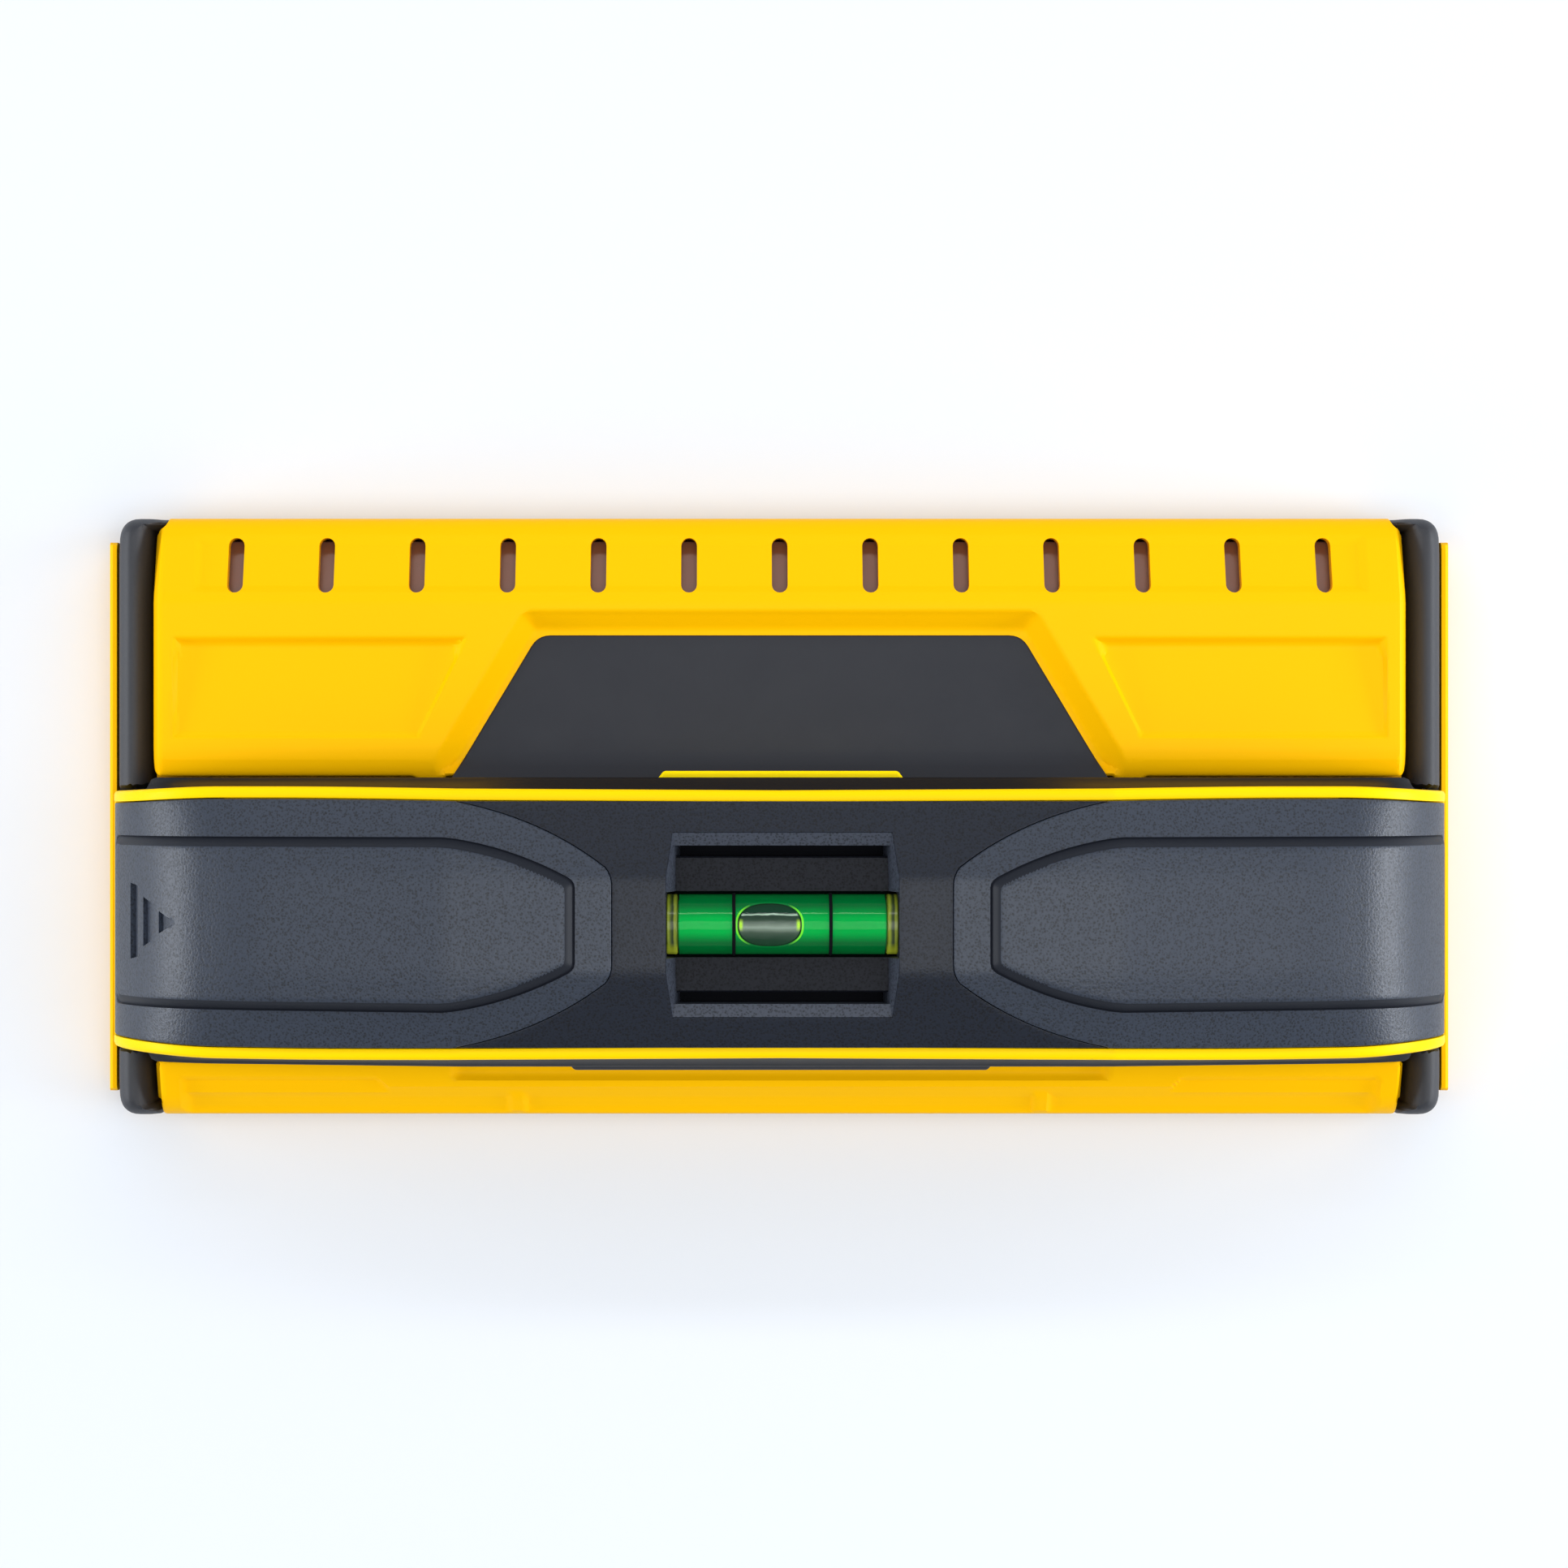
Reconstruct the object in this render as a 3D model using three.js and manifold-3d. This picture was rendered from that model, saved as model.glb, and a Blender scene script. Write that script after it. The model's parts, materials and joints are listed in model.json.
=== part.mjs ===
// Wide wall scanner (stud finder) with an arched handle, built as an assembly of separate pieces.
//
// X runs along the length, +Y points to the edge with the row of indicator slots, and +Z points
// away from the wall. The back face, which slides on the wall, lies on Z = 0. Millimetres.

import * as THREE from 'three';
import { mergeVertices } from 'three/addons/utils/BufferGeometryUtils.js';
import Module from 'manifold-3d';

const wasm = await Module();
wasm.setup();

// ---------------------------------------------------------------- driving dimensions

const clearance = 0.3;
const wall = 2;
const beyond = 5;

const housing = {
  halfLength: 90,
  halfWidth: 39.8,
  floorTop: 2,
  splitHeight: 5,
  deckHeight: 18,
  pocketFloor: 11.5,
  endWall: 83.2,
  deckEdge: 82,
};

const endPlate = { inner: 88.6, halfWidth: 36.7, height: 11 };
const sideFall = { foot: 14, overTop: 0.5 };

const bumper = {
  inner: 83.5,
  outer: 88.3,
  top: 15.5,
  corner: 2.8,
  bevel: 1,
  bevelSlack: 0.06,
  coverInset: 0.4,
  lipReach: 81.2,
  lipWidth: 1.4,
  lipTop: 14,
  notchHalf: 17.35,
};

const slots = {
  count: 13,
  pitch: 12,
  width: 2.1,
  start: 29.6,
  end: 37,
  tilt: THREE.MathUtils.degToRad(20),
};
const slotStrip = { start: 29, bend: 37, middle: 33.3 };
const lightStack = {
  lens: -0.4,
  lensThickness: 1.2,
  ledBase: -4.6,
  boardThickness: 1.2,
  halfWidth: 4.4,
  half: 76,
  below: 3.9,
  backset: 0.6,
};

const label = {
  topHalf: 32.4,
  bottomHalf: 43.6,
  top: 24.1,
  height: 16.3,
  thickness: 1,
  corner: 3,
  surround: 1.7,
  surroundRise: 0.6,
  underHandle: 0.1,
};

const sidePanel = { outer: 80.2, topInner: 40, bottomInner: 47.5, top: 23.9, bottom: 10.4, depth: 0.9 };

const handle = {
  y: -13.4,
  upperFoot: 18.5,
  lowerFoot: 19,
  bottom: 11.9,
  endFace: 84.9,
  endWall: 1.5,
  innerHalf: 16,
  buttonWay: 10,
};
const lip = { halfWidth: 18.6, waist: 17.4, foot: 0.1, underTrim: 0.05, fadeStart: 77, fadeEnd: 84 };

const arch = {
  top: 37.9,
  bend: 42,
  slope: THREE.MathUtils.degToRad(11.85),
  bendRadius: 15,
  shoulderRadius: 20,
  endHeight: 11.9,
};

const trim = {
  halfWidth: 16.95,
  swell: 0.5,
  swellStart: 20,
  swellEnd: 66,
  taper: 0.6,
  taperStart: 72,
  rim: 1.48,
  thickness: 2.5,
  ledge: 1.5,
  ledgeTop: -1,
  ledgeEnd: 37,
  endBar: 2,
};

const crown = {
  rise: 4.2,
  endRise: -0.1,
  flatHalf: 6,
  facetDrop: 0.316,
  endFlattening: 1,
  thickness: 1.9,
  fadeStart: 36,
  fadeEnd: 10,
};
const coverStep = 0.3;
const pad = {
  rise: 0.5,
  edgeGap: 3,
  startX: 84.5,
  shoulderX: 42.5,
  cheekX: 33.2,
  tipX: 27.2,
  halfWidth: 10.4,
  cheekHalf: 7.8,
  tipHalf: 4.4,
};
const gripTip = { x: 21.5, halfWidth: 6.1, rootX: 40, rootHalf: 15.3, controlX: 29.5, controlHalf: 13.1 };

const vial = {
  z: 37,
  radius: 3.8,
  bore: 3.15,
  halfLength: 14.6,
  capLength: 1.4,
  markX: 6.1,
  markWidth: 0.45,
};
const bubble = { x: -1.6, halfLength: 4.3, halfWidth: 2.4, halfHeight: 0.85, z: 38.7 };
const windowWell = {
  sideHalf: 13,
  bulgeHalf: 14.6,
  cornerHalf: 13.8,
  half: 11.6,
  wellHalf: 9.8,
  bevelFoot: 39,
  wallX: 17,
  wallY: 13.2,
  wallFoot: 33.5,
  wallDepth: 12,
};
const cradle = {
  halfLength: 12.7,
  halfWidth: 8.4,
  footLength: 16.5,
  footWidth: 12.8,
  bottom: 31.2,
  footTop: 33.2,
};
const troughGap = 0.5;

const button = {
  half: 16.4,
  faceHalf: 15.2,
  face: 19.45,
  low: 20.3,
  high: 26.3,
  flange: 1.2,
  flangeBack: 14.4,
  chamfer: 1.6,
};
const sidePad = { half: 28, outer: 19.3, low: 19.6, high: 26.8, chamfer: 1.2 };

const cell = { radius: 7.25, length: 49.2, nubRadius: 2.75, nubLength: 1.3, pitch: 15.3, z: 25 };
const cellsEnd = { left: -70.9, right: -18.3, springGap: 2.1 };
const tray = {
  left: -73.4,
  right: -15.9,
  half: 15.2,
  low: 13.5,
  high: 24,
  leftWall: 1.5,
  rightWall: 1.4,
  wireGap: 1.6,
  floor: 21.5,
  notch: 2.3,
};
const contact = {
  wire: 0.4,
  halfWidth: 4.5,
  bridgeHalf: 12.5,
  low: 20,
  high: 29.5,
  inset: 1.9,
  slotFloor: 18,
  slot: 0.9,
  coilRadius: 3,
  coilTurns: 2,
};
const lead = { radius: 0.7, sides: 8, steps: 26, socketX: 30 };

const board = { half: 71, front: -34, back: 16, corner: 2, bottom: 4.2, thickness: 1.2 };
const switchBoard = { half: 12, back: 8.3, front: 9.5, low: 15.6, high: 29 };
const pushKey = { half: 3, front: 12.5, plungerRadius: 1.6, plungerReach: 0.5 };
const chips = {
  height: 1.4,
  processorHalf: 5,
  amplifierHalf: 3,
  amplifierDepth: 2,
  socketHalf: 4,
  socketDepth: 3.5,
  socketHeight: 3.9,
};
const screwPlaces = [[-77, 20], [77, 20], [-77, -30], [77, -30], [-26, 21.5], [26, 21.5]];
const postPlaces = [[-66, 12], [66, 12], [-66, -28], [66, -28]];
const post = { radius: 2, foot: 1 };
const boss = { radius: 3.2, bore: 1.6, foot: 3.6, belowDeck: 1.5, coverRadius: 4.5, coverTop: 3.2 };
const screw = {
  headRadius: 2.7,
  headLow: 0.3,
  headHigh: 1.4,
  radius: 1.25,
  tip: 8.8,
  sink: 3.1,
  sinkDepth: 1.7,
};
const wireWay = { left: 20, right: 40, half: 8 };

// ---------------------------------------------------------------- finishes

const colours = {
  yellow: 0xfdd300,
  orangeYellow: 0xffd800,
  black: 0x2a2c30,
  rubber: 0x3a3c41,
  grip: 0x454a55,
  cover: 0x2c2e36,
  smoke: 0x5a3420,
  clear: 0xd8f2d8,
  green: 0x2fbf52,
  board: 0x1d5b33,
  chip: 0x17181a,
  steel: 0xb9bcc2,
  cellSleeve: 0x33363c,
  red: 0xb32218,
  white: 0xe8e8e4,
};

function finish(colour, roughness, metalness = 0) {
  return new THREE.MeshStandardMaterial({ color: colour, roughness, metalness });
}

// ---------------------------------------------------------------- solids

function toSolid(geometry) {
  const bare = geometry.clone();
  bare.deleteAttribute('normal');
  bare.deleteAttribute('uv');
  const merged = mergeVertices(bare, 1e-4);
  const mesh = new wasm.Mesh({
    numProp: 3,
    vertProperties: Float32Array.from(merged.attributes.position.array),
    triVerts: Uint32Array.from(merged.index.array),
  });
  return new wasm.Manifold(mesh);
}

function toGeometry(solid) {
  const mesh = solid.getMesh();
  const geometry = new THREE.BufferGeometry();
  geometry.setAttribute('position', new THREE.BufferAttribute(Float32Array.from(mesh.vertProperties), 3));
  geometry.setIndex(new THREE.BufferAttribute(Uint32Array.from(mesh.triVerts), 1));
  geometry.computeVertexNormals();
  return geometry;
}

function block(x0, x1, y0, y1, z0, z1) {
  const geometry = new THREE.BoxGeometry(x1 - x0, y1 - y0, z1 - z0);
  geometry.translate((x0 + x1) / 2, (y0 + y1) / 2, (z0 + z1) / 2);
  return toSolid(geometry);
}

function symmetricBlock(half, y0, y1, z0, z1) {
  return block(-half, half, y0, y1, z0, z1);
}

function prism(shape, z0, z1, curveSegments = 4) {
  const geometry = new THREE.ExtrudeGeometry(shape, { depth: z1 - z0, bevelEnabled: false, curveSegments });
  geometry.translate(0, 0, z0);
  return toSolid(geometry);
}

function rod(radius, z0, z1, x = 0, y = 0, sides = 20) {
  const geometry = new THREE.CylinderGeometry(radius, radius, z1 - z0, sides);
  geometry.rotateX(Math.PI / 2);
  geometry.translate(x, y, (z0 + z1) / 2);
  return toSolid(geometry);
}

// A round bar whose axis lies along X.
function rodAlongX(radius, x0, x1, y, z, sides = 24) {
  const geometry = new THREE.CylinderGeometry(radius, radius, x1 - x0, sides);
  geometry.rotateZ(Math.PI / 2);
  geometry.translate((x0 + x1) / 2, y, z);
  return toSolid(geometry);
}

function polygon(points) {
  return new THREE.Shape(points.map(([x, y]) => new THREE.Vector2(x, y)));
}

// A closed outline whose corners are rounded; each corner is [x, y, radius].
function roundedOutline(corners) {
  const shape = new THREE.Shape();
  corners.forEach(([x, y, radius], index) => {
    const corner = new THREE.Vector2(x, y);
    const before = corners[(index + corners.length - 1) % corners.length];
    const after = corners[(index + 1) % corners.length];
    const inward = new THREE.Vector2(before[0] - x, before[1] - y).normalize();
    const onward = new THREE.Vector2(after[0] - x, after[1] - y).normalize();
    const halfAngle = Math.acos(THREE.MathUtils.clamp(inward.dot(onward), -1, 1)) / 2;
    const reach = radius / Math.tan(halfAngle);
    const start = corner.clone().addScaledVector(inward, reach);
    const end = corner.clone().addScaledVector(onward, reach);
    if (index === 0) {
      shape.moveTo(start.x, start.y);
    } else {
      shape.lineTo(start.x, start.y);
    }
    if (radius > 0) {
      shape.quadraticCurveTo(x, y, end.x, end.y);
    }
  });
  shape.closePath();
  return shape;
}

// A solid between an upper and a lower grid of points, closed round its four edges.
// Rows run towards +X and columns towards +Y.
function gridSolid(rows, columns, upperPoint, lowerPoint) {
  const positions = [];
  for (const pointAt of [upperPoint, lowerPoint]) {
    for (let row = 0; row < rows; row += 1) {
      for (let column = 0; column < columns; column += 1) {
        positions.push(...pointAt(row, column).toArray());
      }
    }
  }
  const upper = (row, column) => row * columns + column;
  const lower = (row, column) => (rows + row) * columns + column;
  const index = [];
  const quad = (a, b, c, d) => index.push(a, b, c, a, c, d);
  for (let row = 0; row < rows - 1; row += 1) {
    for (let column = 0; column < columns - 1; column += 1) {
      quad(upper(row, column), upper(row + 1, column), upper(row + 1, column + 1), upper(row, column + 1));
      quad(lower(row, column), lower(row, column + 1), lower(row + 1, column + 1), lower(row + 1, column));
    }
    const last = columns - 1;
    quad(lower(row, 0), lower(row + 1, 0), upper(row + 1, 0), upper(row, 0));
    quad(lower(row + 1, last), lower(row, last), upper(row, last), upper(row + 1, last));
  }
  for (let column = 0; column < columns - 1; column += 1) {
    const last = rows - 1;
    quad(lower(0, column + 1), lower(0, column), upper(0, column), upper(0, column + 1));
    quad(lower(last, column), lower(last, column + 1), upper(last, column + 1), upper(last, column));
  }
  const geometry = new THREE.BufferGeometry();
  geometry.setAttribute('position', new THREE.Float32BufferAttribute(positions, 3));
  geometry.setIndex(index);
  return toSolid(geometry);
}

// ---------------------------------------------------------------- the arch of the handle

const flatRun = arch.bend - arch.bendRadius * Math.tan(arch.slope / 2);
const bendRun = arch.bendRadius * arch.slope;
const bendEnd = {
  x: flatRun + arch.bendRadius * Math.sin(arch.slope),
  z: arch.top - arch.bendRadius * (1 - Math.cos(arch.slope)),
};
const shoulderStartZ = arch.endHeight + arch.shoulderRadius * Math.cos(arch.slope);
const rampRun = (bendEnd.z - shoulderStartZ) / Math.sin(arch.slope);
const shoulderX = bendEnd.x + rampRun * Math.cos(arch.slope) - arch.shoulderRadius * Math.sin(arch.slope);
const shoulderRun = arch.shoulderRadius * (Math.PI / 2 - arch.slope);
const archRun = flatRun + bendRun + rampRun + shoulderRun;

// The point of the arch at a run measured from its middle, raised by an offset along its normal.
function archPoint(run, y, offset) {
  const side = Math.sign(run);
  let rest = Math.abs(run);
  let x = rest;
  let z = arch.top;
  let tilt = 0;
  if (rest > flatRun) {
    rest -= flatRun;
    tilt = Math.min(rest, bendRun) / arch.bendRadius;
    x = flatRun + arch.bendRadius * Math.sin(tilt);
    z = arch.top - arch.bendRadius * (1 - Math.cos(tilt));
    rest -= bendRun;
  }
  if (tilt >= arch.slope && rest > 0) {
    const ramp = Math.min(rest, rampRun);
    x = bendEnd.x + ramp * Math.cos(arch.slope);
    z = bendEnd.z - ramp * Math.sin(arch.slope);
    rest -= ramp;
  }
  if (tilt >= arch.slope && rest > 0) {
    tilt = arch.slope + rest / arch.shoulderRadius;
    x = shoulderX + arch.shoulderRadius * Math.sin(tilt);
    z = arch.endHeight + arch.shoulderRadius * Math.cos(tilt);
  }
  return new THREE.Vector3(side * (x + offset * Math.sin(tilt)), y, z + offset * Math.cos(tilt));
}

// The height at x of the curve that runs parallel to the arch.
function archHeight(x, offset) {
  const run = Math.abs(x);
  const reach = arch.shoulderRadius + offset;
  if (run > shoulderX + reach * Math.sin(arch.slope)) {
    return arch.endHeight + Math.sqrt(Math.max(reach ** 2 - (run - shoulderX) ** 2, 0));
  }
  const ramp = arch.top + offset / Math.cos(arch.slope) - (run - arch.bend) * Math.tan(arch.slope);
  return Math.min(arch.top + offset, ramp);
}

function trimHalfWidth(x) {
  const swell = trim.swell * THREE.MathUtils.smoothstep(Math.abs(x), trim.swellStart, trim.swellEnd);
  const taper = trim.taper * THREE.MathUtils.smoothstep(Math.abs(x), trim.taperStart, housing.halfLength);
  return trim.halfWidth + swell - taper;
}

// Runs along the arch from one value to another: sparse on the straights, dense on the curves.
function archStations(from, to) {
  const stops = [];
  for (const side of [-1, 1]) {
    stops.push(side * flatRun, side * (flatRun + bendRun), side * (archRun - crown.fadeStart));
    for (let turn = 0; turn <= 1; turn += 1 / 7) {
      stops.push(side * (archRun - shoulderRun * turn));
    }
  }
  const inside = stops.filter((stop) => stop > from + 0.2 && stop < to - 0.2);
  return [from, ...inside, to].sort((a, b) => a - b);
}

// A strip of constant build swept along the arch between two offsets from it.
function archStrip(from, to, halfWidthAt, lowOffset, highOffset) {
  const stations = archStations(from, to);
  const place = (row, column, offset) => {
    const onArch = archPoint(stations[row], 0, 0);
    const half = halfWidthAt(onArch.x);
    return archPoint(stations[row], column === 0 ? -half : half, offset);
  };
  return gridSolid(
    stations.length,
    2,
    (row, column) => place(row, column, highOffset),
    (row, column) => place(row, column, lowOffset),
  );
}

function crownOffset(run, y) {
  const fadeRuns = [archRun - crown.fadeStart, archRun - crown.fadeEnd];
  const fade = THREE.MathUtils.smoothstep(Math.abs(run), ...fadeRuns);
  const rise = THREE.MathUtils.lerp(crown.rise, crown.endRise, fade);
  const facet = Math.max(Math.abs(y) - crown.flatHalf, 0) * crown.facetDrop;
  return rise - facet * (1 - crown.endFlattening * fade);
}

// The faceted shell over the arch: two side facets that fall from a flat middle.
function crownShell(from, to, edgeGap, extra, thickness) {
  const stations = archStations(from, to);
  const across = (run) => {
    const half = trimHalfWidth(archPoint(run, 0, 0).x) - trim.rim - edgeGap;
    return [-half, -crown.flatHalf, crown.flatHalf, half];
  };
  const place = (row, column, lowered) => {
    const run = stations[row];
    const y = across(run)[column];
    return archPoint(run, y, crownOffset(run, y) + extra - lowered);
  };
  return gridSolid(
    stations.length,
    4,
    (row, column) => place(row, column, 0),
    (row, column) => place(row, column, thickness),
  );
}

// ---------------------------------------------------------------- sensor body

function footprint(inset) {
  const x = housing.endWall - inset;
  const y = housing.halfWidth - inset;
  const notchX = bumper.lipReach - clearance - inset;
  const notchY = housing.halfWidth - bumper.lipWidth - clearance - inset;
  return polygon([
    [-x, -notchY], [-notchX, -notchY], [-notchX, -y], [notchX, -y],
    [notchX, -notchY], [x, -notchY], [x, notchY], [notchX, notchY],
    [notchX, y], [-notchX, y], [-notchX, notchY], [-x, notchY],
  ]);
}

function backCover() {
  const reach = bumper.outer - bumper.coverInset;
  const corner = bumper.corner;
  const outline = roundedOutline([
    [-reach, -housing.halfWidth, corner], [reach, -housing.halfWidth, corner],
    [reach, housing.halfWidth, corner], [-reach, housing.halfWidth, corner],
  ]);
  const plateY = [-endPlate.halfWidth, endPlate.halfWidth];
  const rim = prism(footprint(0), 0, housing.splitHeight);
  let cover = prism(outline, 0, housing.floorTop);
  cover = cover.add(rim.subtract(prism(footprint(wall), -1, housing.splitHeight + 1)));
  cover = cover.add(symmetricBlock(housing.halfLength, ...plateY, 0, housing.floorTop));
  for (const side of [-1, 1]) {
    const plateX = [side * endPlate.inner, side * housing.halfLength].sort((a, b) => a - b);
    cover = cover.add(block(...plateX, ...plateY, 0, endPlate.height));
  }
  for (const [x, y] of postPlaces) {
    cover = cover.add(rod(post.radius, post.foot, board.bottom - clearance, x, y, 12));
  }
  for (const [x, y] of screwPlaces) {
    cover = cover.add(rod(boss.coverRadius, post.foot, boss.coverTop, x, y));
    cover = cover.subtract(rod(screw.sink, -1, screw.sinkDepth, x, y));
    cover = cover.subtract(rod(boss.bore, -1, beyond, x, y, 12));
  }
  return cover;
}

// The outer section of the yellow housing across its width, as [y, z] points.
const housingSection = [
  [-housing.halfWidth, housing.splitHeight + clearance],
  [housing.halfWidth, housing.splitHeight + clearance],
  [housing.halfWidth, 12.6],
  [39.2, 13.8],
  [slotStrip.bend, housing.deckHeight - (slotStrip.bend - slotStrip.start) * Math.tan(slots.tilt)],
  [slotStrip.start, housing.deckHeight],
  [8.8, housing.deckHeight],
  [5.4, 16.4],
  [-32, 16.9],
  [-37.4, 15.2],
  [-39.3, 12.6],
  [-housing.halfWidth, 11],
];

// The hollow inside the housing: low under the handle, high under both panels.
const hollowSection = [
  [-37.8, housing.splitHeight],
  [37.8, housing.splitHeight],
  [37.8, 11.6],
  [36.3, 13],
  [28.4, 15.9],
  [9.3, 15.9],
  [7.5, 14.6],
  [7.5, housing.pocketFloor - wall],
  [-34.6, housing.pocketFloor - wall],
  [-34.6, 13.6],
  [-36.6, 12.8],
  [-37.8, 10.4],
];

function alongX(section, half) {
  const geometry = new THREE.ExtrudeGeometry(polygon(section), { depth: 2 * half, bevelEnabled: false });
  geometry.translate(0, 0, -half);
  geometry.rotateY(Math.PI / 2);
  geometry.rotateX(Math.PI / 2);
  return toSolid(geometry);
}

function sideProfile() {
  const low = housing.splitHeight + clearance;
  const high = housing.deckHeight + sideFall.overTop;
  const outline = polygon([
    [-housing.endWall, low], [housing.endWall, low], [housing.endWall, sideFall.foot],
    [housing.deckEdge, high], [-housing.deckEdge, high], [-housing.endWall, sideFall.foot],
  ]);
  const depth = 2 * housing.halfWidth + 2;
  const geometry = new THREE.ExtrudeGeometry(outline, { depth, bevelEnabled: false });
  geometry.rotateX(Math.PI / 2);
  geometry.translate(0, housing.halfWidth + 1, 0);
  return toSolid(geometry);
}

const handleUpperEdge = handle.y + handle.upperFoot + clearance;
const handleLowerEdge = handle.y - handle.lowerFoot - clearance;

function labelOutline(grow) {
  const slant = (label.bottomHalf - label.topHalf) / (label.top - handleUpperEdge);
  const low = handleUpperEdge - label.underHandle;
  const bottomHalf = label.bottomHalf + grow * Math.hypot(1, slant);
  const topHalf = bottomHalf - slant * (label.top + grow - low);
  return roundedOutline([
    [-bottomHalf, low, 0], [bottomHalf, low, 0],
    [topHalf, label.top + grow, label.corner], [-topHalf, label.top + grow, label.corner],
  ]);
}

function slotOutline(x) {
  const half = slots.width / 2;
  const end = slots.end - half;
  const start = slots.start + half;
  const shape = new THREE.Shape();
  shape.absarc(x, end, half, 0, Math.PI);
  shape.absarc(x, start, half, Math.PI, 2 * Math.PI);
  shape.closePath();
  return shape;
}

function slotX(index) {
  return (index - (slots.count - 1) / 2) * slots.pitch;
}

function sidePanelOutline(side) {
  return polygon([
    [side * sidePanel.outer, sidePanel.bottom], [side * sidePanel.bottomInner, sidePanel.bottom],
    [side * sidePanel.topInner, sidePanel.top], [side * sidePanel.outer, sidePanel.top],
  ]);
}

// The pillar for a housing screw: it ends under whatever the housing has above it there.
function bossTop(x, y) {
  if (y < handleUpperEdge) {
    return housing.pocketFloor - 1;
  }
  const above = Math.abs(x) > label.bottomHalf ? housing.deckHeight : label.height;
  return above - boss.belowDeck;
}

function frontHousing() {
  const above = housing.deckHeight + beyond;
  const bedFloor = label.height - label.thickness;
  let shell = alongX(housingSection, housing.endWall).intersect(sideProfile());
  shell = shell.intersect(prism(footprint(0), 0, above));
  const underLabel = symmetricBlock(
    label.bottomHalf + wall, handleUpperEdge, label.top + wall, bedFloor - wall, housing.deckHeight,
  );
  const hollow = alongX(hollowSection, housing.endWall - wall).intersect(prism(footprint(wall), 0, above));
  shell = shell.subtract(hollow.subtract(underLabel));
  const pocket = [handleLowerEdge, handleUpperEdge, housing.pocketFloor, above];
  shell = shell.subtract(symmetricBlock(housing.halfLength, ...pocket));
  shell = shell.subtract(prism(labelOutline(0), bedFloor - clearance, housing.deckHeight));
  shell = shell.subtract(prism(labelOutline(label.surround), label.height + label.surroundRise, above));
  for (const side of [-1, 1]) {
    shell = shell.subtract(prism(sidePanelOutline(side), housing.deckHeight - sidePanel.depth, above));
  }
  for (let index = 0; index < slots.count; index += 1) {
    shell = shell.subtract(prism(slotOutline(slotX(index)), housing.pocketFloor, above));
  }
  for (const [x, y] of screwPlaces) {
    shell = shell.add(rod(boss.radius, boss.foot, bossTop(x, y), x, y, 16));
    shell = shell.subtract(rod(boss.bore, boss.foot - 1, housing.pocketFloor - wall, x, y, 12));
  }
  const { left, right, half } = wireWay;
  return shell.subtract(block(
    left, right, handle.y - half, handle.y + half, housing.splitHeight, housing.pocketFloor + 1,
  ));
}

function labelPlate() {
  return prism(labelOutline(-clearance), label.height - label.thickness, label.height);
}

// The rubber bumper is drawn at +X; the one for side -1 is then turned half round, so its notch
// for the handle lies at the opposite place across the width.
function bumperSolid(side) {
  const { inner, outer, corner, lipReach, lipWidth, lipTop, bevel, bevelSlack, notchHalf } = bumper;
  const y = housing.halfWidth - bevel - bevelSlack;
  const x = outer - bevel;
  const start = inner + bevel;
  const outline = roundedOutline([
    [start, -y, 0], [x, -y, corner], [x, y, corner], [start, y, 0],
  ]);
  const height = bumper.top - housing.floorTop - clearance - 2 * bevel;
  const geometry = new THREE.ExtrudeGeometry(outline, {
    depth: height, bevelThickness: bevel, bevelSize: bevel, bevelSegments: 3, curveSegments: 5,
  });
  geometry.translate(0, 0, housing.floorTop + clearance + bevel);
  let solid = toSolid(geometry);
  for (const end of [-1, 1]) {
    const lipY = [end * (housing.halfWidth - lipWidth), end * housing.halfWidth].sort((a, b) => a - b);
    solid = solid.add(block(lipReach, start + 1, ...lipY, housing.splitHeight + clearance, lipTop));
  }
  const notchY = [side * handle.y - notchHalf, side * handle.y + notchHalf];
  const notch = block(lipReach, housing.halfLength, ...notchY, housing.pocketFloor, housing.deckHeight + 1);
  return solid.subtract(notch);
}

// ---------------------------------------------------------------- handle

// Stops up one flank of the handle: the fraction of its height, and its half width there.
function flankLevels(x) {
  const top = trimHalfWidth(x) - lip.underTrim;
  const fade = THREE.MathUtils.smoothstep(Math.abs(x), lip.fadeStart, lip.fadeEnd);
  const edge = THREE.MathUtils.lerp(lip.halfWidth, top + lip.foot, fade);
  const waist = THREE.MathUtils.lerp(lip.waist, top, fade);
  return [
    { level: 0, half: edge },
    { level: 0.24, half: edge - lip.foot },
    { level: 0.34, half: waist },
    { level: 0.66, half: waist },
    { level: 0.71, half: edge },
    { level: 0.78, half: edge },
    { level: 1, half: top },
  ];
}

// The closed section of the handle at x: up the +Y flank and down the -Y flank.
function handleRing(x) {
  const high = archHeight(x, -trim.thickness - clearance);
  const low = handle.bottom + clearance;
  const inPocket = (index) => index < 2;
  const flank = flankLevels(x).map(({ level, half }) => [half, THREE.MathUtils.lerp(low, high, level)]);
  const upper = flank.map(([half, z], index) => {
    const wide = inPocket(index) ? Math.min(half, handle.upperFoot) : half;
    return [wide, z];
  });
  const lower = flank.map(([half, z], index) => {
    const wide = inPocket(index) ? Math.min(half + clearance, handle.lowerFoot) : half;
    return [-wide, z];
  });
  return [...upper, ...lower.reverse()].map(([y, z]) => new THREE.Vector3(x, y, z));
}

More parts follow.
